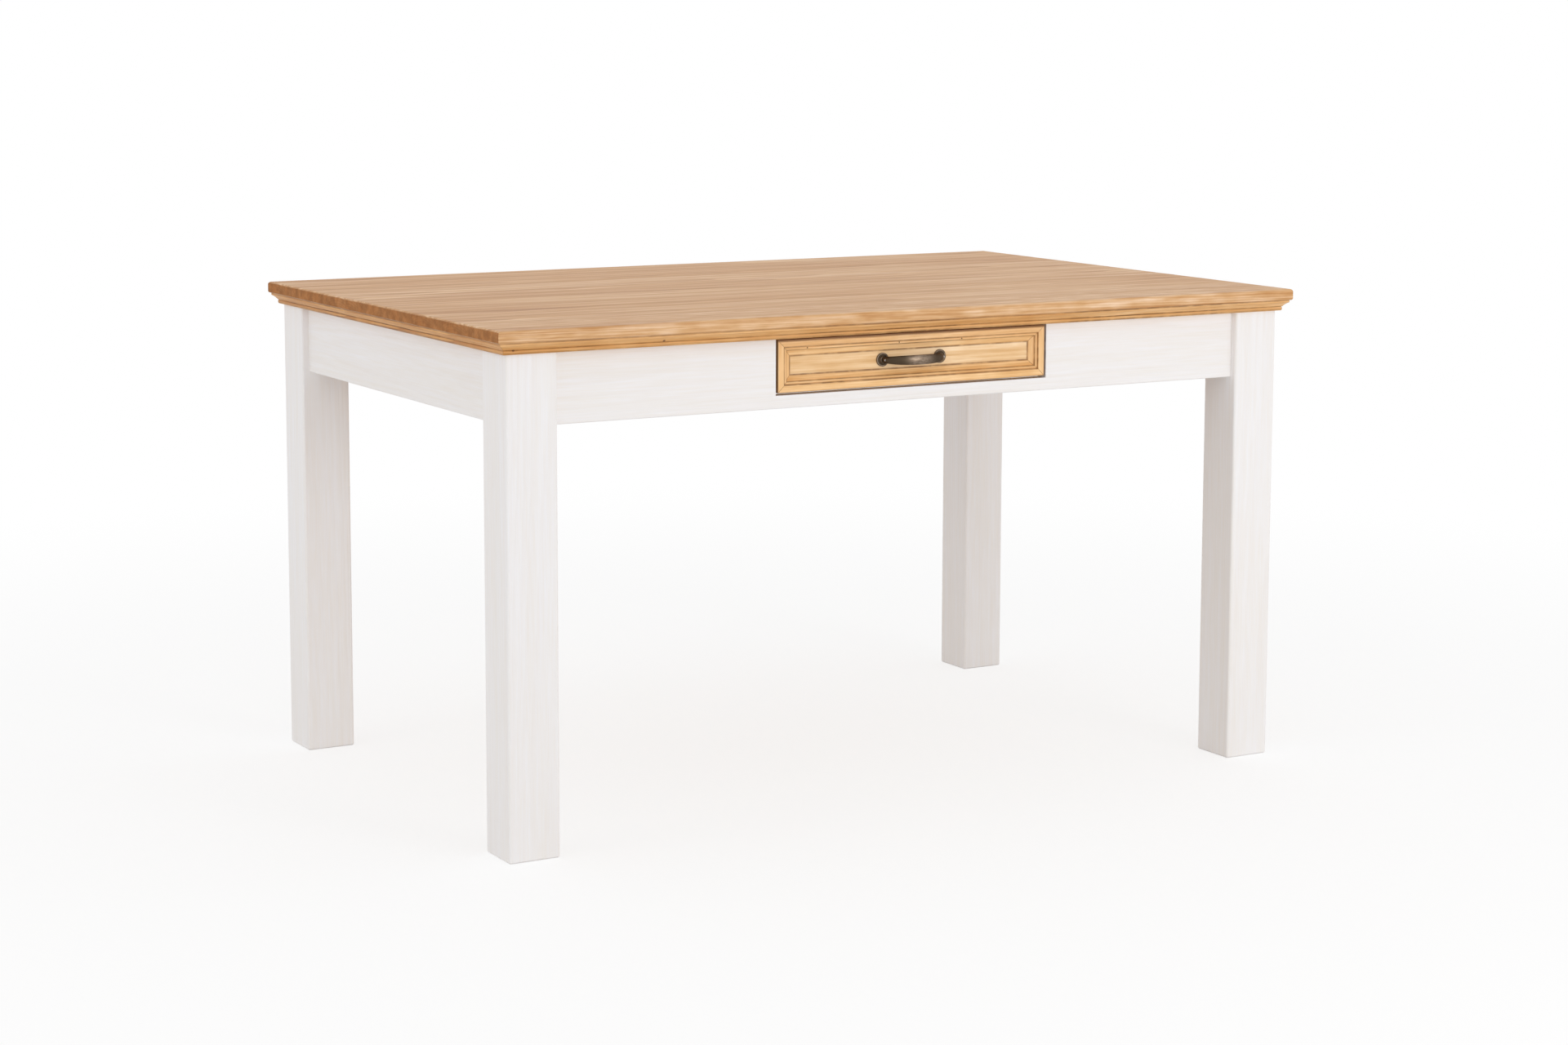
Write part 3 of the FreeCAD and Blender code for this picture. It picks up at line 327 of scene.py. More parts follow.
def late_wood(tree, place, given):
    """Up to 1 in the dark line at the end of each ring, 0 in the pale band before it."""
    across = vectors(tree, "MULTIPLY", bent(tree, place, given["Wander"]), ACROSS_GRAIN)
    radius = length_of(tree, across)
    radius = maths(tree, "MULTIPLY_ADD", along_axis(tree, place, "X"), TAPER, radius)
    radius = maths(tree, "ADD", radius, given["Push"])
    rings = maths(tree, "DIVIDE", radius, given["Ring width"])
    years = {"W": rings, "Scale": YEARS_SCALE, "Detail": 1.0}
    years = add(tree, "TexNoise", years, noise_dimensions="1D").outputs["Fac"]
    season = maths(tree, "FRACT", maths(tree, "MULTIPLY_ADD", years, RING_UNEVENNESS, rings))
    late = spread(tree, season, *DARKENING, 0.0, 1.0)
    late = maths(tree, "MULTIPLY", late, spread(tree, season, *YEAR_END, 1.0, 0.0))
    fading = spread(tree, noise(tree, place, FADING_SCALE), *NOISE_MIDDLE, FAINTEST_RING, 1.0)
    return maths(tree, "MULTIPLY", late, fading)


print("rings ready")

# %% [markdown]
# ## One group for the grain
# Six more noises, from broad clouds down to single fibres and all drawn out along the grain, are there
# to shade the timber. Together with the rings they make one node group. Every piece of timber uses that
# group, so a change to the grain is made in one place.

# %% Grow the grain
# how close the noise is along and across the grain, its detail and its roughness
SHADES = {
    "Cloud": (1.2, 7.0, 2.0, 0.5),
    "Blotch": (22.0, 75.0, 2.0, 0.5),
    "Band": (1.4, 27.0, 2.0, 0.5),
    "Streak": (2.4, 85.0, 3.0, 0.5),
    "Fleck": (15.0, 250.0, 3.0, 0.5),
    "Fibre": (12.0, 620.0, 3.0, 0.65),
}


def pine_grain():
    """Node group: a place in the log, with X along the grain, gives the signs of pine from 0 to 1."""
    tree = bpy.data.node_groups.new("pine_grain", "ShaderNodeTree")
    inputs = {"Place": "Vector", "Ring width": "Float", "Wander": "Float", "Push": "Float"}
    for name, kind in inputs.items():
        tree.interface.new_socket(name, in_out="INPUT", socket_type="NodeSocket" + kind)
    for name in ("Late wood", *SHADES):
        tree.interface.new_socket(name, in_out="OUTPUT", socket_type="NodeSocketFloat")
    given = tree.nodes.new("NodeGroupInput").outputs
    output = tree.nodes.new("NodeGroupOutput")
    place = given["Place"]
    tree.links.new(late_wood(tree, place, given), output.inputs["Late wood"])
    for name, (along, across, detail, roughness) in SHADES.items():
        shade = noise(tree, place, (along, across, across), detail, roughness)
        tree.links.new(shade, output.inputs[name])
    return tree


PINE_GRAIN = pine_grain()
print(f"pine grain from {len(PINE_GRAIN.nodes)} nodes")

# %% [markdown]
# ## Where each piece was sawn
# Every piece was sawn from another place in another log, so each gets a material of its own. A Mapping
# node will turn the log to lie along the piece and move its heart to a point behind the face. That
# point comes from a seeded draw, so it is the same each time.

# %% Choose a log for each piece
AXES = {"X": 0, "Y": 1, "Z": 2}
QUARTER_TURN = math.radians(90)
GRAIN_TURN = {"X": (0.0, 0.0, 0.0), "Y": (0.0, 0.0, QUARTER_TURN), "Z": (0.0, -QUARTER_TURN, 0.0)}
HEART_BESIDE = 0.05
draw = random.Random(1878)


def heart_of(name, along, behind, depth):
    """The heart of the log: behind the piece along one axis, drawn to a side on the third."""
    low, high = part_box(name)
    point = (low + high) / 2
    beside = next(axis for axis in AXES if axis not in (along, behind))
    point[AXES[behind]] += draw.uniform(*depth)
    point[AXES[beside]] += draw.uniform(-HEART_BESIDE, HEART_BESIDE)
    return point


print("logs ready to be sawn")

# %% [markdown]
# ## Light and dark
# Oiled pine isn't evenly coloured: it is clouded, streaked and flecked, and where it is darker it is
# redder too. So the noises are multiplied into one number, and red and blue each take that number to a
# power of their own. A whole piece may be lighter or darker as well, or change along its length.

# %% Shade the timber
NOISE_REACH = (0.28, 0.72)
RED_POWER = 0.55
BLUE_POWER = 1.8


def shaded_by(tree, sign, share):
    """Shades a colour by up to that share, darker and lighter."""
    return spread(tree, sign, *NOISE_REACH, 1.0 - share, 1.0 + share)


def shading(tree, table_place, along, grain, shades, tone):
    """The shade at each place, as a colour. A tone is one number, or a pair of tones and the two
    places along the grain between which the first turns into the second."""
    shade = tone
    if isinstance(tone, tuple):
        tones, places = tone
        shade = spread(tree, along_axis(tree, table_place, along), *places, *tones)
    for sign, share in shades.items():
        shade = maths(tree, "MULTIPLY", shade, shaded_by(tree, grain[sign], share))
    red, blue = (maths(tree, "POWER", shade, power) for power in (RED_POWER, BLUE_POWER))
    return add(tree, "CombineXYZ", {0: red, 1: shade, 2: blue}).outputs[0]


print(f"shades: {', '.join(SHADES)}")

# %% [markdown]
# ## Cut ends and knots
# Where a face cuts across the grain it drinks more oil. It turns darker and duller there, the rings
# show less, and it stays mottled. The face's own direction tells where that is. A knot is the root of
# a branch: dark in its heart, and the rings flow round it, so it also pushes them aside.

# %% Soak the ends and set the knots
END_GRAIN_FACING = (0.6, 0.95)
END_GRAIN_EVENNESS = 0.65
END_GRAIN_MOTTLE = 0.17
LATE_SHARE = 0.35
KNOT_CORE = 0.5
KNOT_PUSH = 1.5
KNOT_PUSH_REACH = 5.0


def end_grain(tree, along):
    """1 on faces that cut across the grain and 0 on the long faces."""
    cut = along_axis(tree, add(tree, "NewGeometry").outputs["Normal"], along)
    return spread(tree, maths(tree, "ABSOLUTE", cut), *END_GRAIN_FACING, 0.0, 1.0)


def soaked(tree, colour, grain, early, late, end_tint):
    """The colour of the timber where it is cut across the grain."""
    even = tuple(pale + (dark - pale) * LATE_SHARE for pale, dark in zip(early, late))
    soaked_colour = mixed(tree, END_GRAIN_EVENNESS, colour, even)
    soaked_colour = mixed(tree, 1.0, soaked_colour, end_tint, mode="MULTIPLY")
    mottle = shaded_by(tree, grain["Blotch"], END_GRAIN_MOTTLE)
    return mixed(tree, 1.0, soaked_colour, mottle, mode="MULTIPLY")


def knots_in(tree, place, knots):
    """Dark hearts of the knots, and how far they push the rings aside. A knot is a point, a radius,
    how much each axis counts, and how dark it is."""
    dark, push = 0.0, 0.0
    for point, radius, axes, darkness in knots:
        away = vectors(tree, "SUBTRACT", place, point)
        away = length_of(tree, vectors(tree, "MULTIPLY", away, axes))
        heart = spread(tree, away, radius * KNOT_CORE, radius, darkness, 0.0)
        aside = spread(tree, away, 0.0, radius * KNOT_PUSH_REACH, radius * KNOT_PUSH, 0.0)
        dark = maths(tree, "MAXIMUM", dark, heart)
        push = maths(tree, "ADD", push, aside)
    return dark, push


print("end grain and knots ready")

# %% [markdown]
# ## The timber finish
# One function now makes every timber on the table. It asks the pine grain for its signs, mixes early
# and late wood, and shades them. Then come the soaked ends, the knots, and the dark lines: dark joints,
# and painted shade in the creases and under the overhangs, so a piece may say where it has them. The
# rings and fibres also make a slight relief.

# %% Finish timber
PINE_SHADES = {"Cloud": 0.08, "Blotch": 0.08, "Band": 0.10, "Streak": 0.14, "Fleck": 0.10, "Fibre": 0.07}
END_GRAIN_TINT = (0.57, 0.42, 0.285)
END_GRAIN_ROUGHNESS = 0.85
KNOT_BROWN = (0.16, 0.065, 0.025)
# the brown of the dark joints and of the painted shade in creases and under overhangs
JOINT_AND_SHADE_BROWN = (0.19, 0.075, 0.018)
FIBRE_DEPTH = 0.8
FIBRE_REACH = (0.2, 0.8)
SHEEN_CHANGE = 0.06
SATIN_SPECULAR = 0.3
RELIEF_STRENGTH = 0.6


def timber(name, along, heart, early, late, ring_width=0.0042, wander=0.014, shades=PINE_SHADES,
           tone=1.0, end_tint=END_GRAIN_TINT, knots=(), joint_lines_and_shade=None, roughness=0.5, relief=0.00012):
    """Timber with its grain along one axis of the table."""
    material, tree = new_material(name)
    table_place = add(tree, "TexCoord").outputs["Object"]
    log = {"Vector": table_place, "Location": heart, "Rotation": GRAIN_TURN[along]}
    log_place = add(tree, "Mapping", log, vector_type="TEXTURE").outputs[0]
    pine = add(tree, "Group", node_tree=PINE_GRAIN)
    pine.inputs["Ring width"].default_value = ring_width
    pine.inputs["Wander"].default_value = wander
    tree.links.new(log_place, pine.inputs["Place"])
    grain = pine.outputs

    colour = mixed(tree, grain["Late wood"], early, late)
    shade = shading(tree, table_place, along, grain, shades, tone)
    colour = mixed(tree, 1.0, colour, shade, mode="MULTIPLY")
    ends = end_grain(tree, along)
    colour = mixed(tree, ends, colour, soaked(tree, colour, grain, early, late, end_tint))
    if knots:
        dark, push = knots_in(tree, table_place, knots)
        tree.links.new(push, pine.inputs["Push"])
        colour = mixed(tree, dark, colour, KNOT_BROWN)
    # dark joint lines, and painted shade in the creases and under the overhangs
    if joint_lines_and_shade:
        colour = mixed(tree, joint_lines_and_shade(tree, table_place), colour, JOINT_AND_SHADE_BROWN)

    height = maths(tree, "MULTIPLY_ADD", grain["Fibre"], -FIBRE_DEPTH, grain["Late wood"])
    bump = add(tree, "Bump", {"Strength": RELIEF_STRENGTH, "Distance": relief, "Height": height})
    dull = spread(tree, grain["Fibre"], *FIBRE_REACH, roughness - SHEEN_CHANGE, roughness + SHEEN_CHANGE)
    dull = maths(tree, "MAXIMUM", dull, maths(tree, "MULTIPLY", ends, END_GRAIN_ROUGHNESS))
    finish_surface(tree, Base_Color=colour, Roughness=dull, Normal=bump.outputs[0],
                   Specular_IOR_Level=SATIN_SPECULAR)
    return material


def dress(name, material):
    """Gives a piece of the frame its material."""
    for slot in nodes[name].material_slots:
        slot.material = material


print("timber finish ready")

# %% [markdown]
# ## Dark lines: joints and painted shade
# A dark line lies at a known distance from an edge, and the imported model says where the edges are.
# A few are dark joints; most are painted shade, where creases and overhangs lie in shadow. So each
# line is arithmetic on a point's place: how far it is from the line, and dark if that is next to
# nothing. Two noises break the lines up, so that they aren't too even.

# %% Draw dark lines
LINE_CORE = 0.3
NEAR_FADE = 0.002
PATCH_SCALE = (60.0, 60.0, 60.0)
PATCH_REACH = (0.3, 0.6)
PATCH_LEAST = 0.55
UNEVEN_SCALE = (6.0, 6.0, 6.0)
UNEVEN_LEAST = 0.45


def line(tree, distance, width, strength):
    """Dark where the distance is nearly 0, up to the strength, and nothing beyond the width."""
    return spread(tree, maths(tree, "ABSOLUTE", distance), width * LINE_CORE, width, strength, 0.0)


def from_level(tree, place, level):
    return maths(tree, "SUBTRACT", along_axis(tree, place, "Z"), level)


def inset(tree, place, axis, low, high):
    """How far a point is inside the nearer of two opposite edges."""
    middle = maths(tree, "SUBTRACT", along_axis(tree, place, axis), (low + high) / 2)
    return maths(tree, "SUBTRACT", (high - low) / 2, maths(tree, "ABSOLUTE", middle))


def near(tree, distance, reach, strength):
    """The strength up to that reach, and soon after it nothing."""
    return spread(tree, distance, reach, reach + NEAR_FADE, strength, 0.0)


def darkest(tree, lines):
    """All the lines together."""
    dark = lines[0]
    for other in lines[1:]:
        dark = maths(tree, "MAXIMUM", dark, other)
    return dark


def patchy_lines(tree, place, dark):
    """Dark lines, dark joints and painted shade alike, made patchy and uneven."""
    patchy = noise(tree, place, PATCH_SCALE, detail=3.0)
    patchy = spread(tree, patchy, *PATCH_REACH, PATCH_LEAST, 1.0)
    uneven = spread(tree, noise(tree, place, UNEVEN_SCALE), *NOISE_MIDDLE, UNEVEN_LEAST, 1.0)
    return maths(tree, "MULTIPLY", dark, maths(tree, "MULTIPLY", patchy, uneven))


print("groove lines ready")

# %% [markdown]
# ## The top
# Eight boards lie side by side along the table. They are flat sawn, with the heart of the log a hand's
# breadth below, and oiled to a tan that looks greyer at a low angle, where the satin surface mirrors
# the white room. The boards aren't quite one colour. The front one shows its edge, which has shorter
# figure, so it gets less of the long streaks and more flecks and blotches. A knot in another board,
# just below its face, bends the rings into long loops. Under the edge, where the moulding starts, a
# dark line is painted shade, where the top's overhang shades the joint.

# %% Oil the top
BOARD_TONES = (1.02, 1.01, 0.91, 0.97, 0.96, 1.01, 0.92, 0.97)
TOP_SHADES = {"Cloud": 0.10, "Blotch": 0.05, "Band": 0.15, "Streak": 0.22, "Fleck": 0.06, "Fibre": 0.07}
EDGE_SHADES = {"Cloud": 0.04, "Blotch": 0.13, "Band": 0.06, "Streak": 0.16, "Fleck": 0.17, "Fibre": 0.08}
BOARD_KNOTS = {3: [(Vector((0.200, -0.155, 0.0)), 0.012, (0.2, 1.0, 0.0), 0.08)]}
TOP_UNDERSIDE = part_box("top_board_1")[0].z
# width, reach in from the rim and strength of the painted shade under the top's edge
UNDER_EDGE_WIDTH = 0.0020
UNDER_EDGE_REACH = 0.006
UNDER_EDGE_STRENGTH = 0.6


def from_rim(tree, place):
    """How far a point is inside the ends and the sides of the top."""
    return (inset(tree, place, "X", CAD_BOX[0].x, CAD_BOX[1].x),
            inset(tree, place, "Y", CAD_BOX[0].y, CAD_BOX[1].y))


# painted shade: a dark line under the top's edge, where the overhang shades the joint with the moulding
def under_edge_shade(tree, place):
    rim = maths(tree, "MINIMUM", *from_rim(tree, place))
    strength = near(tree, rim, UNDER_EDGE_REACH, UNDER_EDGE_STRENGTH)
    level = from_level(tree, place, TOP_UNDERSIDE)
    return patchy_lines(tree, place, line(tree, level, UNDER_EDGE_WIDTH, strength))


for number, tone in enumerate(BOARD_TONES, 1):
    board = f"top_board_{number}"
    dress(board, timber(
        f"oiled_pine_board_{number}", "X", heart_of(board, "X", "Z", depth=(-0.12, -0.05)),
        early=(0.73, 0.43, 0.205), late=(0.55, 0.265, 0.10), tone=tone,
        shades=EDGE_SHADES if number == 1 else TOP_SHADES,
        knots=BOARD_KNOTS.get(number, ()), joint_lines_and_shade=under_edge_shade, roughness=0.48))
print(f"{len(BOARD_TONES)} boards oiled")

# %% [markdown]
# ## The moulding
# Four strips run round under the top, each with the grain along its own length, and meet in mitres at
# the corners. They are the same pine with a deeper golden oil, and two small knots that nobody cut away.
# The left strip is the darkest, and the front one turns paler to the right of the drawer. The dark
# lines in the mitres are joints; those under the top, between the cove and the bead and along the foot
# are painted shade, where the overhangs and creases lie in shadow.

# %% Oil the moulding
SIDE_GRAIN = {"front": "X", "right": "Y", "back": "X", "left": "Y"}
STRIP_TONES = {"front": ((0.90, 1.13), (0.24, 0.36)), "right": 0.94, "back": 0.97, "left": 0.76}
MOULDING_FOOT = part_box("moulding_front")[0].z
COVE_FOOT = TOP_UNDERSIDE - 0.0105
STRIP_KNOTS = {"front": [
    (Vector((x, 0.0, MOULDING_FOOT + up)), 0.0019, (0.7, 0.0, 1.0), 0.9)
    for x, up in ((-0.672, 0.006), (-0.436, 0.008))
]}
# width and strength of each line, all painted shade but the mitre joint
UNDER_TOP_SHADE = (0.0026, 0.75)
COVE_SHADE = (0.0016, 0.8)
MITRE_LINE = (0.0012, 0.8)
FOOT_SHADE_WIDTH = 0.0040
FOOT_SHADE_REACH = 0.0135
FOOT_SHADE_STRENGTH = 0.75


# painted shade under the top, in the crease between cove and bead and under the bead's foot, and dark
# joint lines in the mitres
def moulding_joints_and_shade(tree, place):
    from_end, from_side = from_rim(tree, place)
    rim = maths(tree, "MINIMUM", from_end, from_side)
    foot_shade_strength = near(tree, rim, FOOT_SHADE_REACH, FOOT_SHADE_STRENGTH)
    return patchy_lines(tree, place, darkest(tree, (
        line(tree, from_level(tree, place, TOP_UNDERSIDE), *UNDER_TOP_SHADE),
        line(tree, from_level(tree, place, COVE_FOOT), *COVE_SHADE),
        line(tree, from_level(tree, place, MOULDING_FOOT), FOOT_SHADE_WIDTH, foot_shade_strength),
        line(tree, maths(tree, "SUBTRACT", from_end, from_side), *MITRE_LINE),
    )))


for side, along in SIDE_GRAIN.items():
    strip = f"moulding_{side}"
    dress(strip, timber(
        f"golden_pine_moulding_{side}", along, heart_of(strip, along, "Z", depth=(-0.06, -0.02)),
        early=(0.85, 0.495, 0.205), late=(0.64, 0.325, 0.12), ring_width=0.0035,
        tone=STRIP_TONES[side], knots=STRIP_KNOTS.get(side, ()),
        joint_lines_and_shade=moulding_joints_and_shade, roughness=0.45))
print(f"{len(SIDE_GRAIN)} moulding strips oiled")

# %% [markdown]
# ## The white frame
# Legs and aprons are pine too, under a white stain that lets only a breath of the grain through. It is
# the same timber function with two whites that lie close together, hardly any shading, and a fine open
# grain that can be felt.

# %% Stain the legs and aprons
WHITE = (0.905, 0.877, 0.862)
WHITE_LATE = (0.890, 0.857, 0.838)
WHITE_END_TINT = (0.96, 0.95, 0.93)
WHITE_SHADES = {"Cloud": 0.012, "Band": 0.009, "Streak": 0.011, "Fleck": 0.011, "Fibre": 0.016}
CORNERS = ("front_left", "front_right", "back_right", "back_left")
BEHIND_APRON = {"X": "Y", "Y": "X"}


def white_stain(name, along, heart):
    return timber(name, along, heart, WHITE, WHITE_LATE, ring_width=0.006, shades=WHITE_SHADES,
                  end_tint=WHITE_END_TINT, roughness=0.55, relief=0.00015)


for corner in CORNERS:
    leg = f"leg_{corner}"
    dress(leg, white_stain(f"white_stain_{leg}", "Z", heart_of(leg, "Z", "Y", depth=(0.03, 0.08))))
for side, along in SIDE_GRAIN.items():
    apron = f"apron_{side}"
    heart = heart_of(apron, along, BEHIND_APRON[along], depth=(0.05, 0.10))
    dress(apron, white_stain(f"white_stain_{apron}", along, heart))
print(f"{len(CORNERS)} legs and {len(SIDE_GRAIN)} aprons stained")

# %% [markdown]
# ## Lines on the drawer front
# The front is a picture frame: four moulded strips, mitred at the corners, round a flat panel. The
# mitres are dark joints. Each step of the profile, from the outer band down to the panel, has painted
# shade in its crease, and the outer edges have painted shade too, where the gap round the front lies
# in shadow, the upper one most. A point's distance from the nearest edge of the front tells which step
# it is on, so one function serves all five pieces.

# %% Draw the lines of the drawer front
FRONT_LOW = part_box("drawer_frame_left")[0]
FRONT_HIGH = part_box("drawer_frame_right")[1]
FRAME_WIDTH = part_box("drawer_frame_left")[1].x - FRONT_LOW.x
FRAME_BAND = 0.011
FRAME_BEAD_END = 0.0158
# how far in, width and strength of the painted shade line in the crease at each step
FRAME_STEP_SHADES = ((FRAME_BAND, 0.0016, 0.7), (FRAME_BEAD_END, 0.0014, 0.65), (FRAME_WIDTH, 0.0020, 0.75))
FRAME_MITRE_LINE = (0.0008, 0.8)
# width, reach to the back and strength of the painted shade at each edge, where the gap round the front
# lies in shadow
SIDE_GAP_SHADE = (0.0012, 0.008, 0.85)
UPPER_GAP_SHADE = (0.0045, 0.003, 0.9)
LOWER_GAP_SHADE = (0.0012, 0.003, 0.85)
FRONT_REACH = 0.012


# painted shade along an edge of the front, where the gap lies in shadow
def gap_shade_line(tree, distance, back, width, reach, strength):
    return line(tree, distance, width, near(tree, back, reach, strength))


def frame_joints_and_shade(tree, place):
    from_end = inset(tree, place, "X", FRONT_LOW.x, FRONT_HIGH.x)
    from_edge = inset(tree, place, "Z", FRONT_LOW.z, FRONT_HIGH.z)
    nearest = maths(tree, "MINIMUM", from_end, from_edge)
    back = maths(tree, "SUBTRACT", along_axis(tree, place, "Y"), FRONT_LOW.y)
    mitre = line(tree, maths(tree, "SUBTRACT", from_end, from_edge), *FRAME_MITRE_LINE)
    # the mitres are dark joints; each step of the profile gets painted shade in its crease
    mitre_joint_and_crease_shade = [maths(tree, "MULTIPLY", mitre, maths(tree, "LESS_THAN", nearest, FRAME_WIDTH))]
    for step, width, strength in FRAME_STEP_SHADES:
        mitre_joint_and_crease_shade.append(line(tree, maths(tree, "SUBTRACT", nearest, step), width, strength))
    # painted shade along the outer edges, where the gap round the front lies in shadow, widest at the top
    # under the moulding
    dark = darkest(tree, (
        patchy_lines(tree, place, darkest(tree, mitre_joint_and_crease_shade)),
        gap_shade_line(tree, from_end, back, *SIDE_GAP_SHADE),
        gap_shade_line(tree, from_level(tree, place, FRONT_HIGH.z), back, *UPPER_GAP_SHADE),
        gap_shade_line(tree, from_level(tree, place, FRONT_LOW.z), back, *LOWER_GAP_SHADE),
    ))
    return maths(tree, "MULTIPLY", near(tree, back, FRONT_REACH, 1.0), dark)


print(f"drawer front {FRONT_HIGH.x - FRONT_LOW.x:.3f} x {FRONT_HIGH.z - FRONT_LOW.z:.4f} m")

# %% [markdown]
# ## The drawer front
# The strips are golden like the moulding under the top, those at the ends with upright grain, and the
# upper one has three tiny knots. The panel is a lighter, lively piece of pine that gets a little paler
# to the right.

# %% Oil the drawer front
FRAME_GRAIN = {"bottom": "X", "right": "Z", "top": "X", "left": "Z"}
FRONT_SHADES = {"Cloud": 0.06, "Blotch": 0.07, "Band": 0.07, "Streak": 0.10, "Fleck": 0.08, "Fibre": 0.06}
PANEL_TONE = ((0.94, 1.06), (-0.12, 0.12))
FRAME_KNOT_LEVEL = FRONT_HIGH.z - 0.0135
FRAME_KNOTS = {"top": [
    (Vector((x, 0.0, FRAME_KNOT_LEVEL)), 0.0014, (1.0, 0.0, 1.0), 1.0) for x in (-0.186, -0.026, 0.086)
]}

for side, along in FRAME_GRAIN.items():
    strip = f"drawer_frame_{side}"
    dress(strip, timber(
        f"golden_pine_frame_{side}", along, heart_of(strip, along, "Y", depth=(0.02, 0.06)),
        early=(0.91, 0.56, 0.255), late=(0.78, 0.45, 0.185), ring_width=0.0035, shades=FRONT_SHADES,
        knots=FRAME_KNOTS.get(side, ()), joint_lines_and_shade=frame_joints_and_shade, roughness=0.45))
dress("drawer_panel", timber(
    "light_pine_panel", "X", heart_of("drawer_panel", "X", "Y", depth=(0.03, 0.07)),
    early=(0.87, 0.575, 0.295), late=(0.78, 0.485, 0.225), ring_width=0.006, wander=0.03,
    tone=PANEL_TONE, shades=FRONT_SHADES, joint_lines_and_shade=frame_joints_and_shade, roughness=0.45))
print(f"{len(FRAME_GRAIN)} frame strips and the panel oiled")

# %% [markdown]
# ## Inside: plain timber, plywood and dowels
# What nobody sees every day is left plain: dry pine for the drawer box and its carriers, beech for the
# dowels, and plywood for the drawer bottom. Unoiled pine is paler and duller than the outside. The
# timber function serves here too, with other colours and rings, because beech and birch grow in rings
# as well.

# %% Leave the inside plain
PLAIN_GRAIN = {
    "drawer_side_left": "Y", "drawer_side_right": "Y", "drawer_inner_front": "X", "drawer_back": "X",
    "drawer_bearer_left": "Y", "drawer_bearer_right": "Y", "drawer_runner_left": "Y",
    "drawer_runner_right": "Y", "drawer_stop_left": "Y", "drawer_stop_right": "Y",
}
DOWEL_GRAIN = {"bearer_dowels": "Y", "drawer_dowels": "X", "apron_dowels": "X"}

for name, along in PLAIN_GRAIN.items():
    dress(name, timber(
        f"plain_pine_{name}", along, heart_of(name, along, "Z", depth=(-0.08, -0.03)),
        early=(0.80, 0.62, 0.40), late=(0.62, 0.42, 0.235), end_tint=(0.86, 0.80, 0.72), roughness=0.62))
dress("drawer_bottom", timber(
    "birch_plywood", "X", heart_of("drawer_bottom", "X", "Z", depth=(-0.5, -0.4)),
    early=(0.78, 0.62, 0.44), late=(0.70, 0.52, 0.34), ring_width=0.012, wander=0.06, roughness=0.58))
for name, along in DOWEL_GRAIN.items():
    dress(name, timber(
        f"beech_{name}", along, heart_of(name, along, "Z", depth=(-0.2, -0.1)),
        early=(0.72, 0.50, 0.32), late=(0.60, 0.38, 0.22), ring_width=0.002,
        end_tint=(0.85, 0.80, 0.75), roughness=0.6))
print(f"{len(PLAIN_GRAIN)} plain pieces, a plywood bottom and the dowels")

# %% [markdown]
# ## Steel under the top
# The corner plates, angles, bolts and screws are zinc plated. Zinc is grey, slightly blue, and clouded
# by small crystals, which a cell pattern gives better than plain noise.

# %% Plate the steel
STEEL_NODES = (
    *(f"corner_plate_{corner}" for corner in CORNERS),
    "leg_bolts", "leg_washers", "leg_nuts", "corner_plate_screws", "top_angles", "angle_apron_screws",
    "angle_top_screws", "runner_screws", "drawer_front_screws", "handle_screws",
)
ZINC_DARK = (0.50, 0.51, 0.53)
ZINC_LIGHT = (0.66, 0.67, 0.69)
CRYSTAL_SCALE = 350.0
CRYSTAL_SHARE = 0.3
HAZE_SCALE = (40.0, 40.0, 40.0)
HAZE_SHARE = 0.7
ZINC_REACH = (0.2, 0.8)
ZINC_ROUGHNESS = (0.42, 0.28)


def zinc_steel():
    material, tree = new_material("zinc_steel")
    place = add(tree, "TexCoord").outputs["Object"]
    crystals = add(tree, "TexVoronoi", {"Vector": place, "Scale": CRYSTAL_SCALE}).outputs["Color"]
    crystal = add(tree, "SeparateColor", {0: crystals}).outputs[0]
    haze = maths(tree, "MULTIPLY", noise(tree, place, HAZE_SCALE, detail=3.0), HAZE_SHARE)
    tone = maths(tree, "MULTIPLY_ADD", crystal, CRYSTAL_SHARE, haze)
    colour = mixed(tree, tone, ZINC_DARK, ZINC_LIGHT)
    dull = spread(tree, tone, *ZINC_REACH, *ZINC_ROUGHNESS)
    finish_surface(tree, Base_Color=colour, Metallic=1.0, Roughness=dull)
    return material


ZINC_STEEL = zinc_steel()
for name in STEEL_NODES:
    dress(name, ZINC_STEEL)
print(f"{len(STEEL_NODES)} steel pieces plated")

# %% [markdown]
# ## Bronze for the handle
# The handle is cast in bronze and darkened with an acid that turns it brown. The middle of the bow is
# lightest, and a little what is raised on its rosettes: partly worn bright by hands, and partly a
# painted highlight. So the colour depends on how far a point is from the middle of the drawer and how
# far out from the panel, and a blotchy noise keeps the change from being too neat.

# %% Mix the bronze
PANEL_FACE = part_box("drawer_panel")[0].y
BRONZE_BROWN = (0.080, 0.056, 0.036)
# the colour of the lighter middle and raised parts: partly worn metal, partly a painted highlight
BRONZE_WORN_AND_HIGHLIT = (0.265, 0.200, 0.150)
BRONZE_ROUGHNESS = (0.46, 0.34)
WORN_AND_HIGHLIT_MIDDLE = (0.004, 0.032)
RAISED_FROM = (0.0015, 0.0022)
RAISED_TO = (0.006, 0.010)
RAISED_WORN_AND_HIGHLIT = 0.55
BLOTCH_SCALE = (120.0, 300.0, 300.0)
BLOTCH_REACH = (0.3, 0.65)
BLOTCH_LEAST = 0.35
SCRATCH_SCALE = (60.0, 1800.0, 1800.0)
SCRATCH_STRENGTH = 0.25
SCRATCH_DEPTH = 0.00005


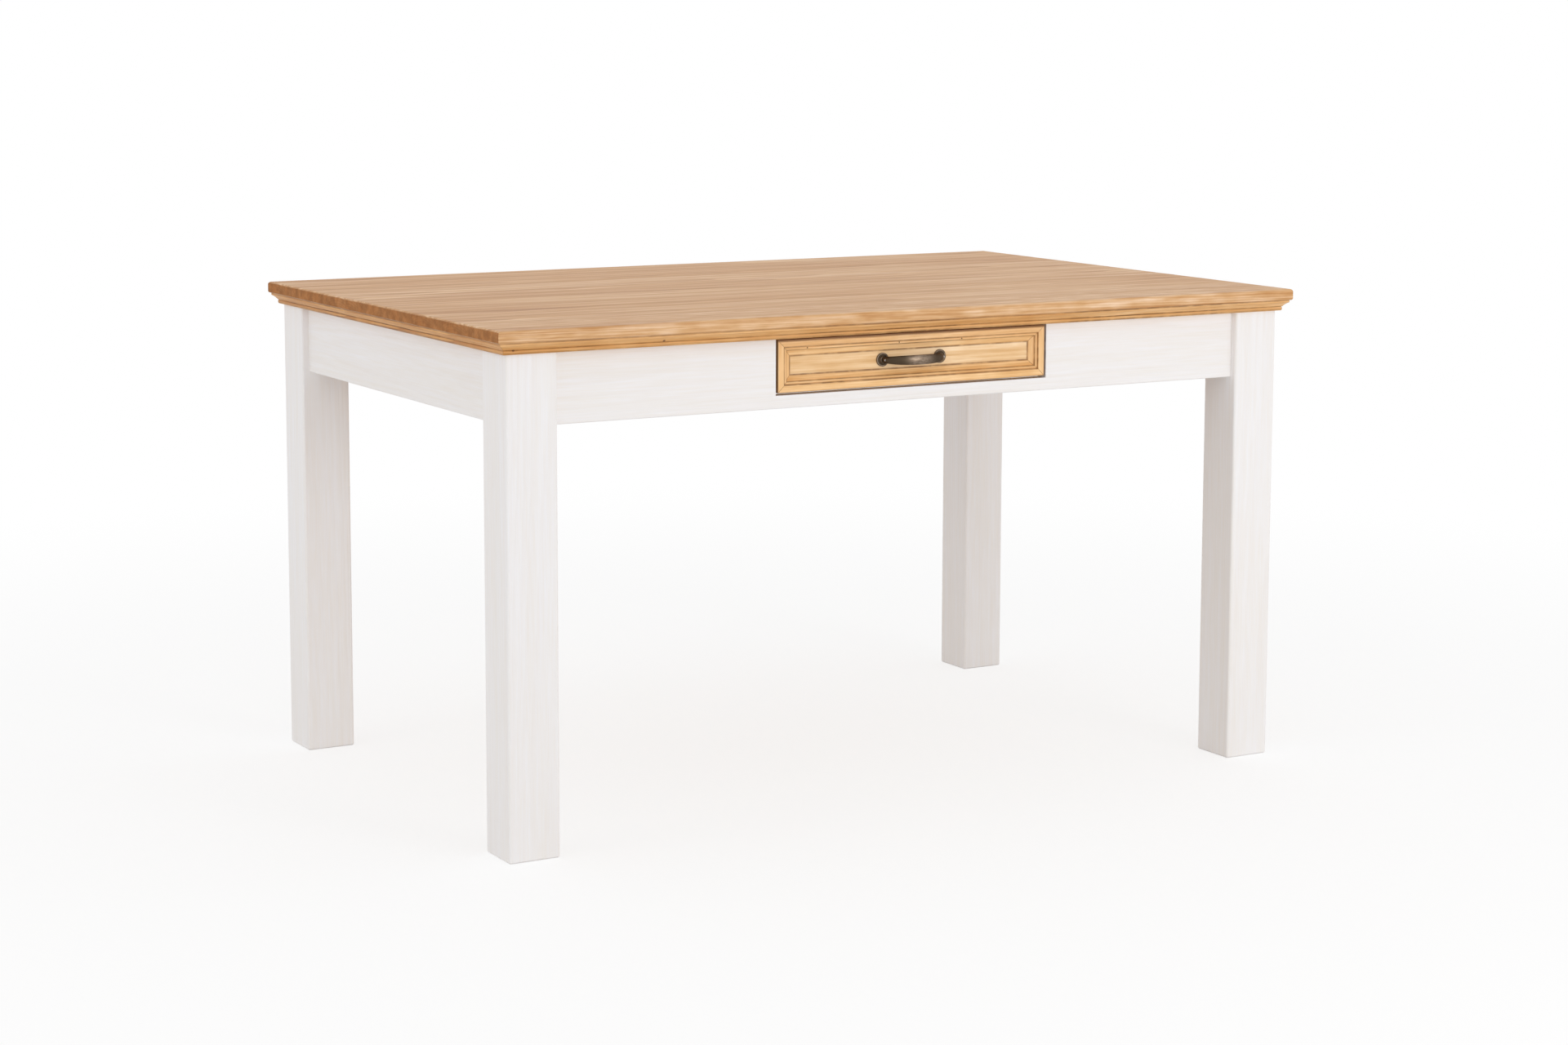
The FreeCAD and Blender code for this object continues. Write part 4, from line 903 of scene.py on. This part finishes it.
def dark_bronze():
    material, tree = new_material("dark_bronze")
    place = add(tree, "TexCoord").outputs["Object"]
    from_middle = maths(tree, "ABSOLUTE", along_axis(tree, place, "X"))
    # a lighter middle of the bow and lighter raised parts: partly worn by hands, partly a painted
    # highlight
    middle = spread(tree, from_middle, *WORN_AND_HIGHLIT_MIDDLE, 1.0, 0.0)
    out = maths(tree, "SUBTRACT", PANEL_FACE, along_axis(tree, place, "Y"))
    raised = spread(tree, out, *RAISED_FROM, 0.0, RAISED_WORN_AND_HIGHLIT)
    raised = maths(tree, "MULTIPLY", raised, spread(tree, out, *RAISED_TO, 1.0, 0.0))
    blotch = noise(tree, place, BLOTCH_SCALE, detail=4.0, roughness=0.6)
    blotch = spread(tree, blotch, *BLOTCH_REACH, BLOTCH_LEAST, 1.0)
    worn_and_highlit = maths(tree, "MULTIPLY", maths(tree, "MAXIMUM", middle, raised), blotch)
    colour = mixed(tree, worn_and_highlit, BRONZE_BROWN, BRONZE_WORN_AND_HIGHLIT)
    dull = spread(tree, worn_and_highlit, 0.0, 1.0, *BRONZE_ROUGHNESS)
    scratches = {"Strength": SCRATCH_STRENGTH, "Distance": SCRATCH_DEPTH}
    scratches["Height"] = noise(tree, place, SCRATCH_SCALE)
    bump = add(tree, "Bump", scratches)
    finish_surface(tree, Base_Color=colour, Metallic=1.0, Roughness=dull, Normal=bump.outputs[0])
    return material


DARK_BRONZE = dark_bronze()
print("dark bronze mixed")

# %% [markdown]
# ## The rosettes
# The bow stands on two small round plates with a raised rim and a boss in the middle. They are turned
# things, so half of the outline is drawn as a chain of edges and spun once round its axis. The corners
# of the outline come out as sharp rings, and a bevel on those rings gives the softness of a casting.

# %% Turn the rosettes
RIM_WIDTH = 0.0025
RIM_FOOT_WIDTH = 0.0030
RIM_HEIGHT = 0.0022
DISH_HEIGHT = 0.0014
BOSS_FOOT = 0.0058
BOSS_RADIUS = 0.0047
TURN_STEPS = 48
CAST_SOFTNESS = 0.0004
SHARP_ANGLE = math.radians(25)
MERGE_DISTANCE = 1e-6


def cast_piece(name, shape, replaced):
    """Makes a finished bronze piece of the drawer from its shape, in place of a piece of the frame."""
    bmesh.ops.remove_doubles(shape, verts=shape.verts, dist=MERGE_DISTANCE)
    bmesh.ops.recalc_face_normals(shape, faces=shape.faces)
    mesh = bpy.data.meshes.new(name)
    shape.to_mesh(mesh)
    shape.free()
    mesh.shade_smooth()
    mesh.materials.append(DARK_BRONZE)
    piece = bpy.data.objects.new(name, mesh)
    bpy.context.scene.collection.objects.link(piece)
    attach(piece, "drawer")
    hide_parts(replaced)
    print(f"{name}: {len(mesh.polygons)} faces")


def turn_rosette(side):
    low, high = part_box(f"handle_rosette_{side}")
    axis_x, axis_z = (low.x + high.x) / 2, (low.z + high.z) / 2
    radius, height = (high.x - low.x) / 2, high.y - low.y
    outline = (
        (0.0, 0.0), (radius, 0.0), (radius, RIM_HEIGHT), (radius - RIM_WIDTH, RIM_HEIGHT),
        (radius - RIM_FOOT_WIDTH, DISH_HEIGHT), (BOSS_FOOT, DISH_HEIGHT), (BOSS_RADIUS, height),
        (0.0, height),
    )
    shape = bmesh.new()
    chain = [shape.verts.new((axis_x + out, high.y - rise, axis_z)) for out, rise in outline]
    edges = [shape.edges.new(pair) for pair in zip(chain, chain[1:])]
    bmesh.ops.spin(shape, geom=chain + edges, cent=(axis_x, 0.0, axis_z), axis=(0.0, 1.0, 0.0),
                   angle=math.tau, steps=TURN_STEPS, use_merge=True)
    bmesh.ops.remove_doubles(shape, verts=shape.verts, dist=MERGE_DISTANCE)
    sharp = [edge for edge in shape.edges if edge.is_manifold and edge.calc_face_angle() > SHARP_ANGLE]
    bmesh.ops.bevel(shape, geom=sharp, offset=CAST_SOFTNESS, affect="EDGES", segments=3, profile=0.5,
                    material=-1)
    cast_piece(f"cast_rosette_{side}", shape, f"handle_rosette_{side}")


for side in ("left", "right"):
    turn_rosette(side)

# %% [markdown]
# ## The bow
# The bow leaves one rosette, swings out in half an ellipse and comes back to the other, and swells on
# the way so that it fills the fingers. A curve with a round bevel couldn't change from a round foot to a
# flat middle, so an oval ring starts at one foot and is extruded step by step, and each step moves it on
# to its next place, turn and size.

# %% Bend the bow
BOW_STEPS = 36
OVAL_POINTS = 24
HANDLE_LOW, HANDLE_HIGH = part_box("handle_bow")
ROSETTE_LOW, ROSETTE_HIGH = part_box("handle_rosette_right")
BOW_FOOT = (0.0060, 0.0085)
BOW_MIDDLE = (0.0050, HANDLE_HIGH.z - HANDLE_LOW.z)
BOW_HALF = (ROSETTE_LOW.x + ROSETTE_HIGH.x) / 2
BOW_START = HANDLE_HIGH.y
BOW_REACH = BOW_START - HANDLE_LOW.y - BOW_MIDDLE[0] / 2
BOW_LEVEL = (HANDLE_LOW.z + HANDLE_HIGH.z) / 2
UP = Vector((0.0, 0.0, 1.0))


def bow_section(step):
    """Place, turn and size of the oval at one step: thickness across the bow and height up it."""
    angle = math.pi * step / BOW_STEPS
    swell = math.sin(angle)
    thickness, height = (foot + (middle - foot) * swell for foot, middle in zip(BOW_FOOT, BOW_MIDDLE))
    at = Vector((-BOW_HALF * math.cos(angle), BOW_START - BOW_REACH * swell, BOW_LEVEL))
    way = Vector((BOW_HALF * swell, -BOW_REACH * math.cos(angle), 0.0)).normalized()
    turn = Matrix((UP.cross(way), UP, way)).transposed().to_4x4()
    return Matrix.Translation(at) @ turn @ Matrix.Diagonal((thickness / 2, height / 2, 1.0, 1.0))


def bend_bow():
    shape = bmesh.new()
    oval = bmesh.ops.create_circle(shape, radius=1.0, segments=OVAL_POINTS, matrix=bow_section(0))
    ring = oval["verts"]
    for step in range(1, BOW_STEPS + 1):
        rim = [edge for edge in shape.edges if edge.verts[0] in ring and edge.verts[1] in ring]
        grown = bmesh.ops.extrude_edge_only(shape, edges=rim)["geom"]
        ring = [part for part in grown if isinstance(part, bmesh.types.BMVert)]
        move = bow_section(step) @ bow_section(step - 1).inverted()
        bmesh.ops.transform(shape, matrix=move, verts=ring)
    bmesh.ops.holes_fill(shape, edges=shape.edges)
    cast_piece("cast_bow", shape, "handle_bow")


bend_bow()
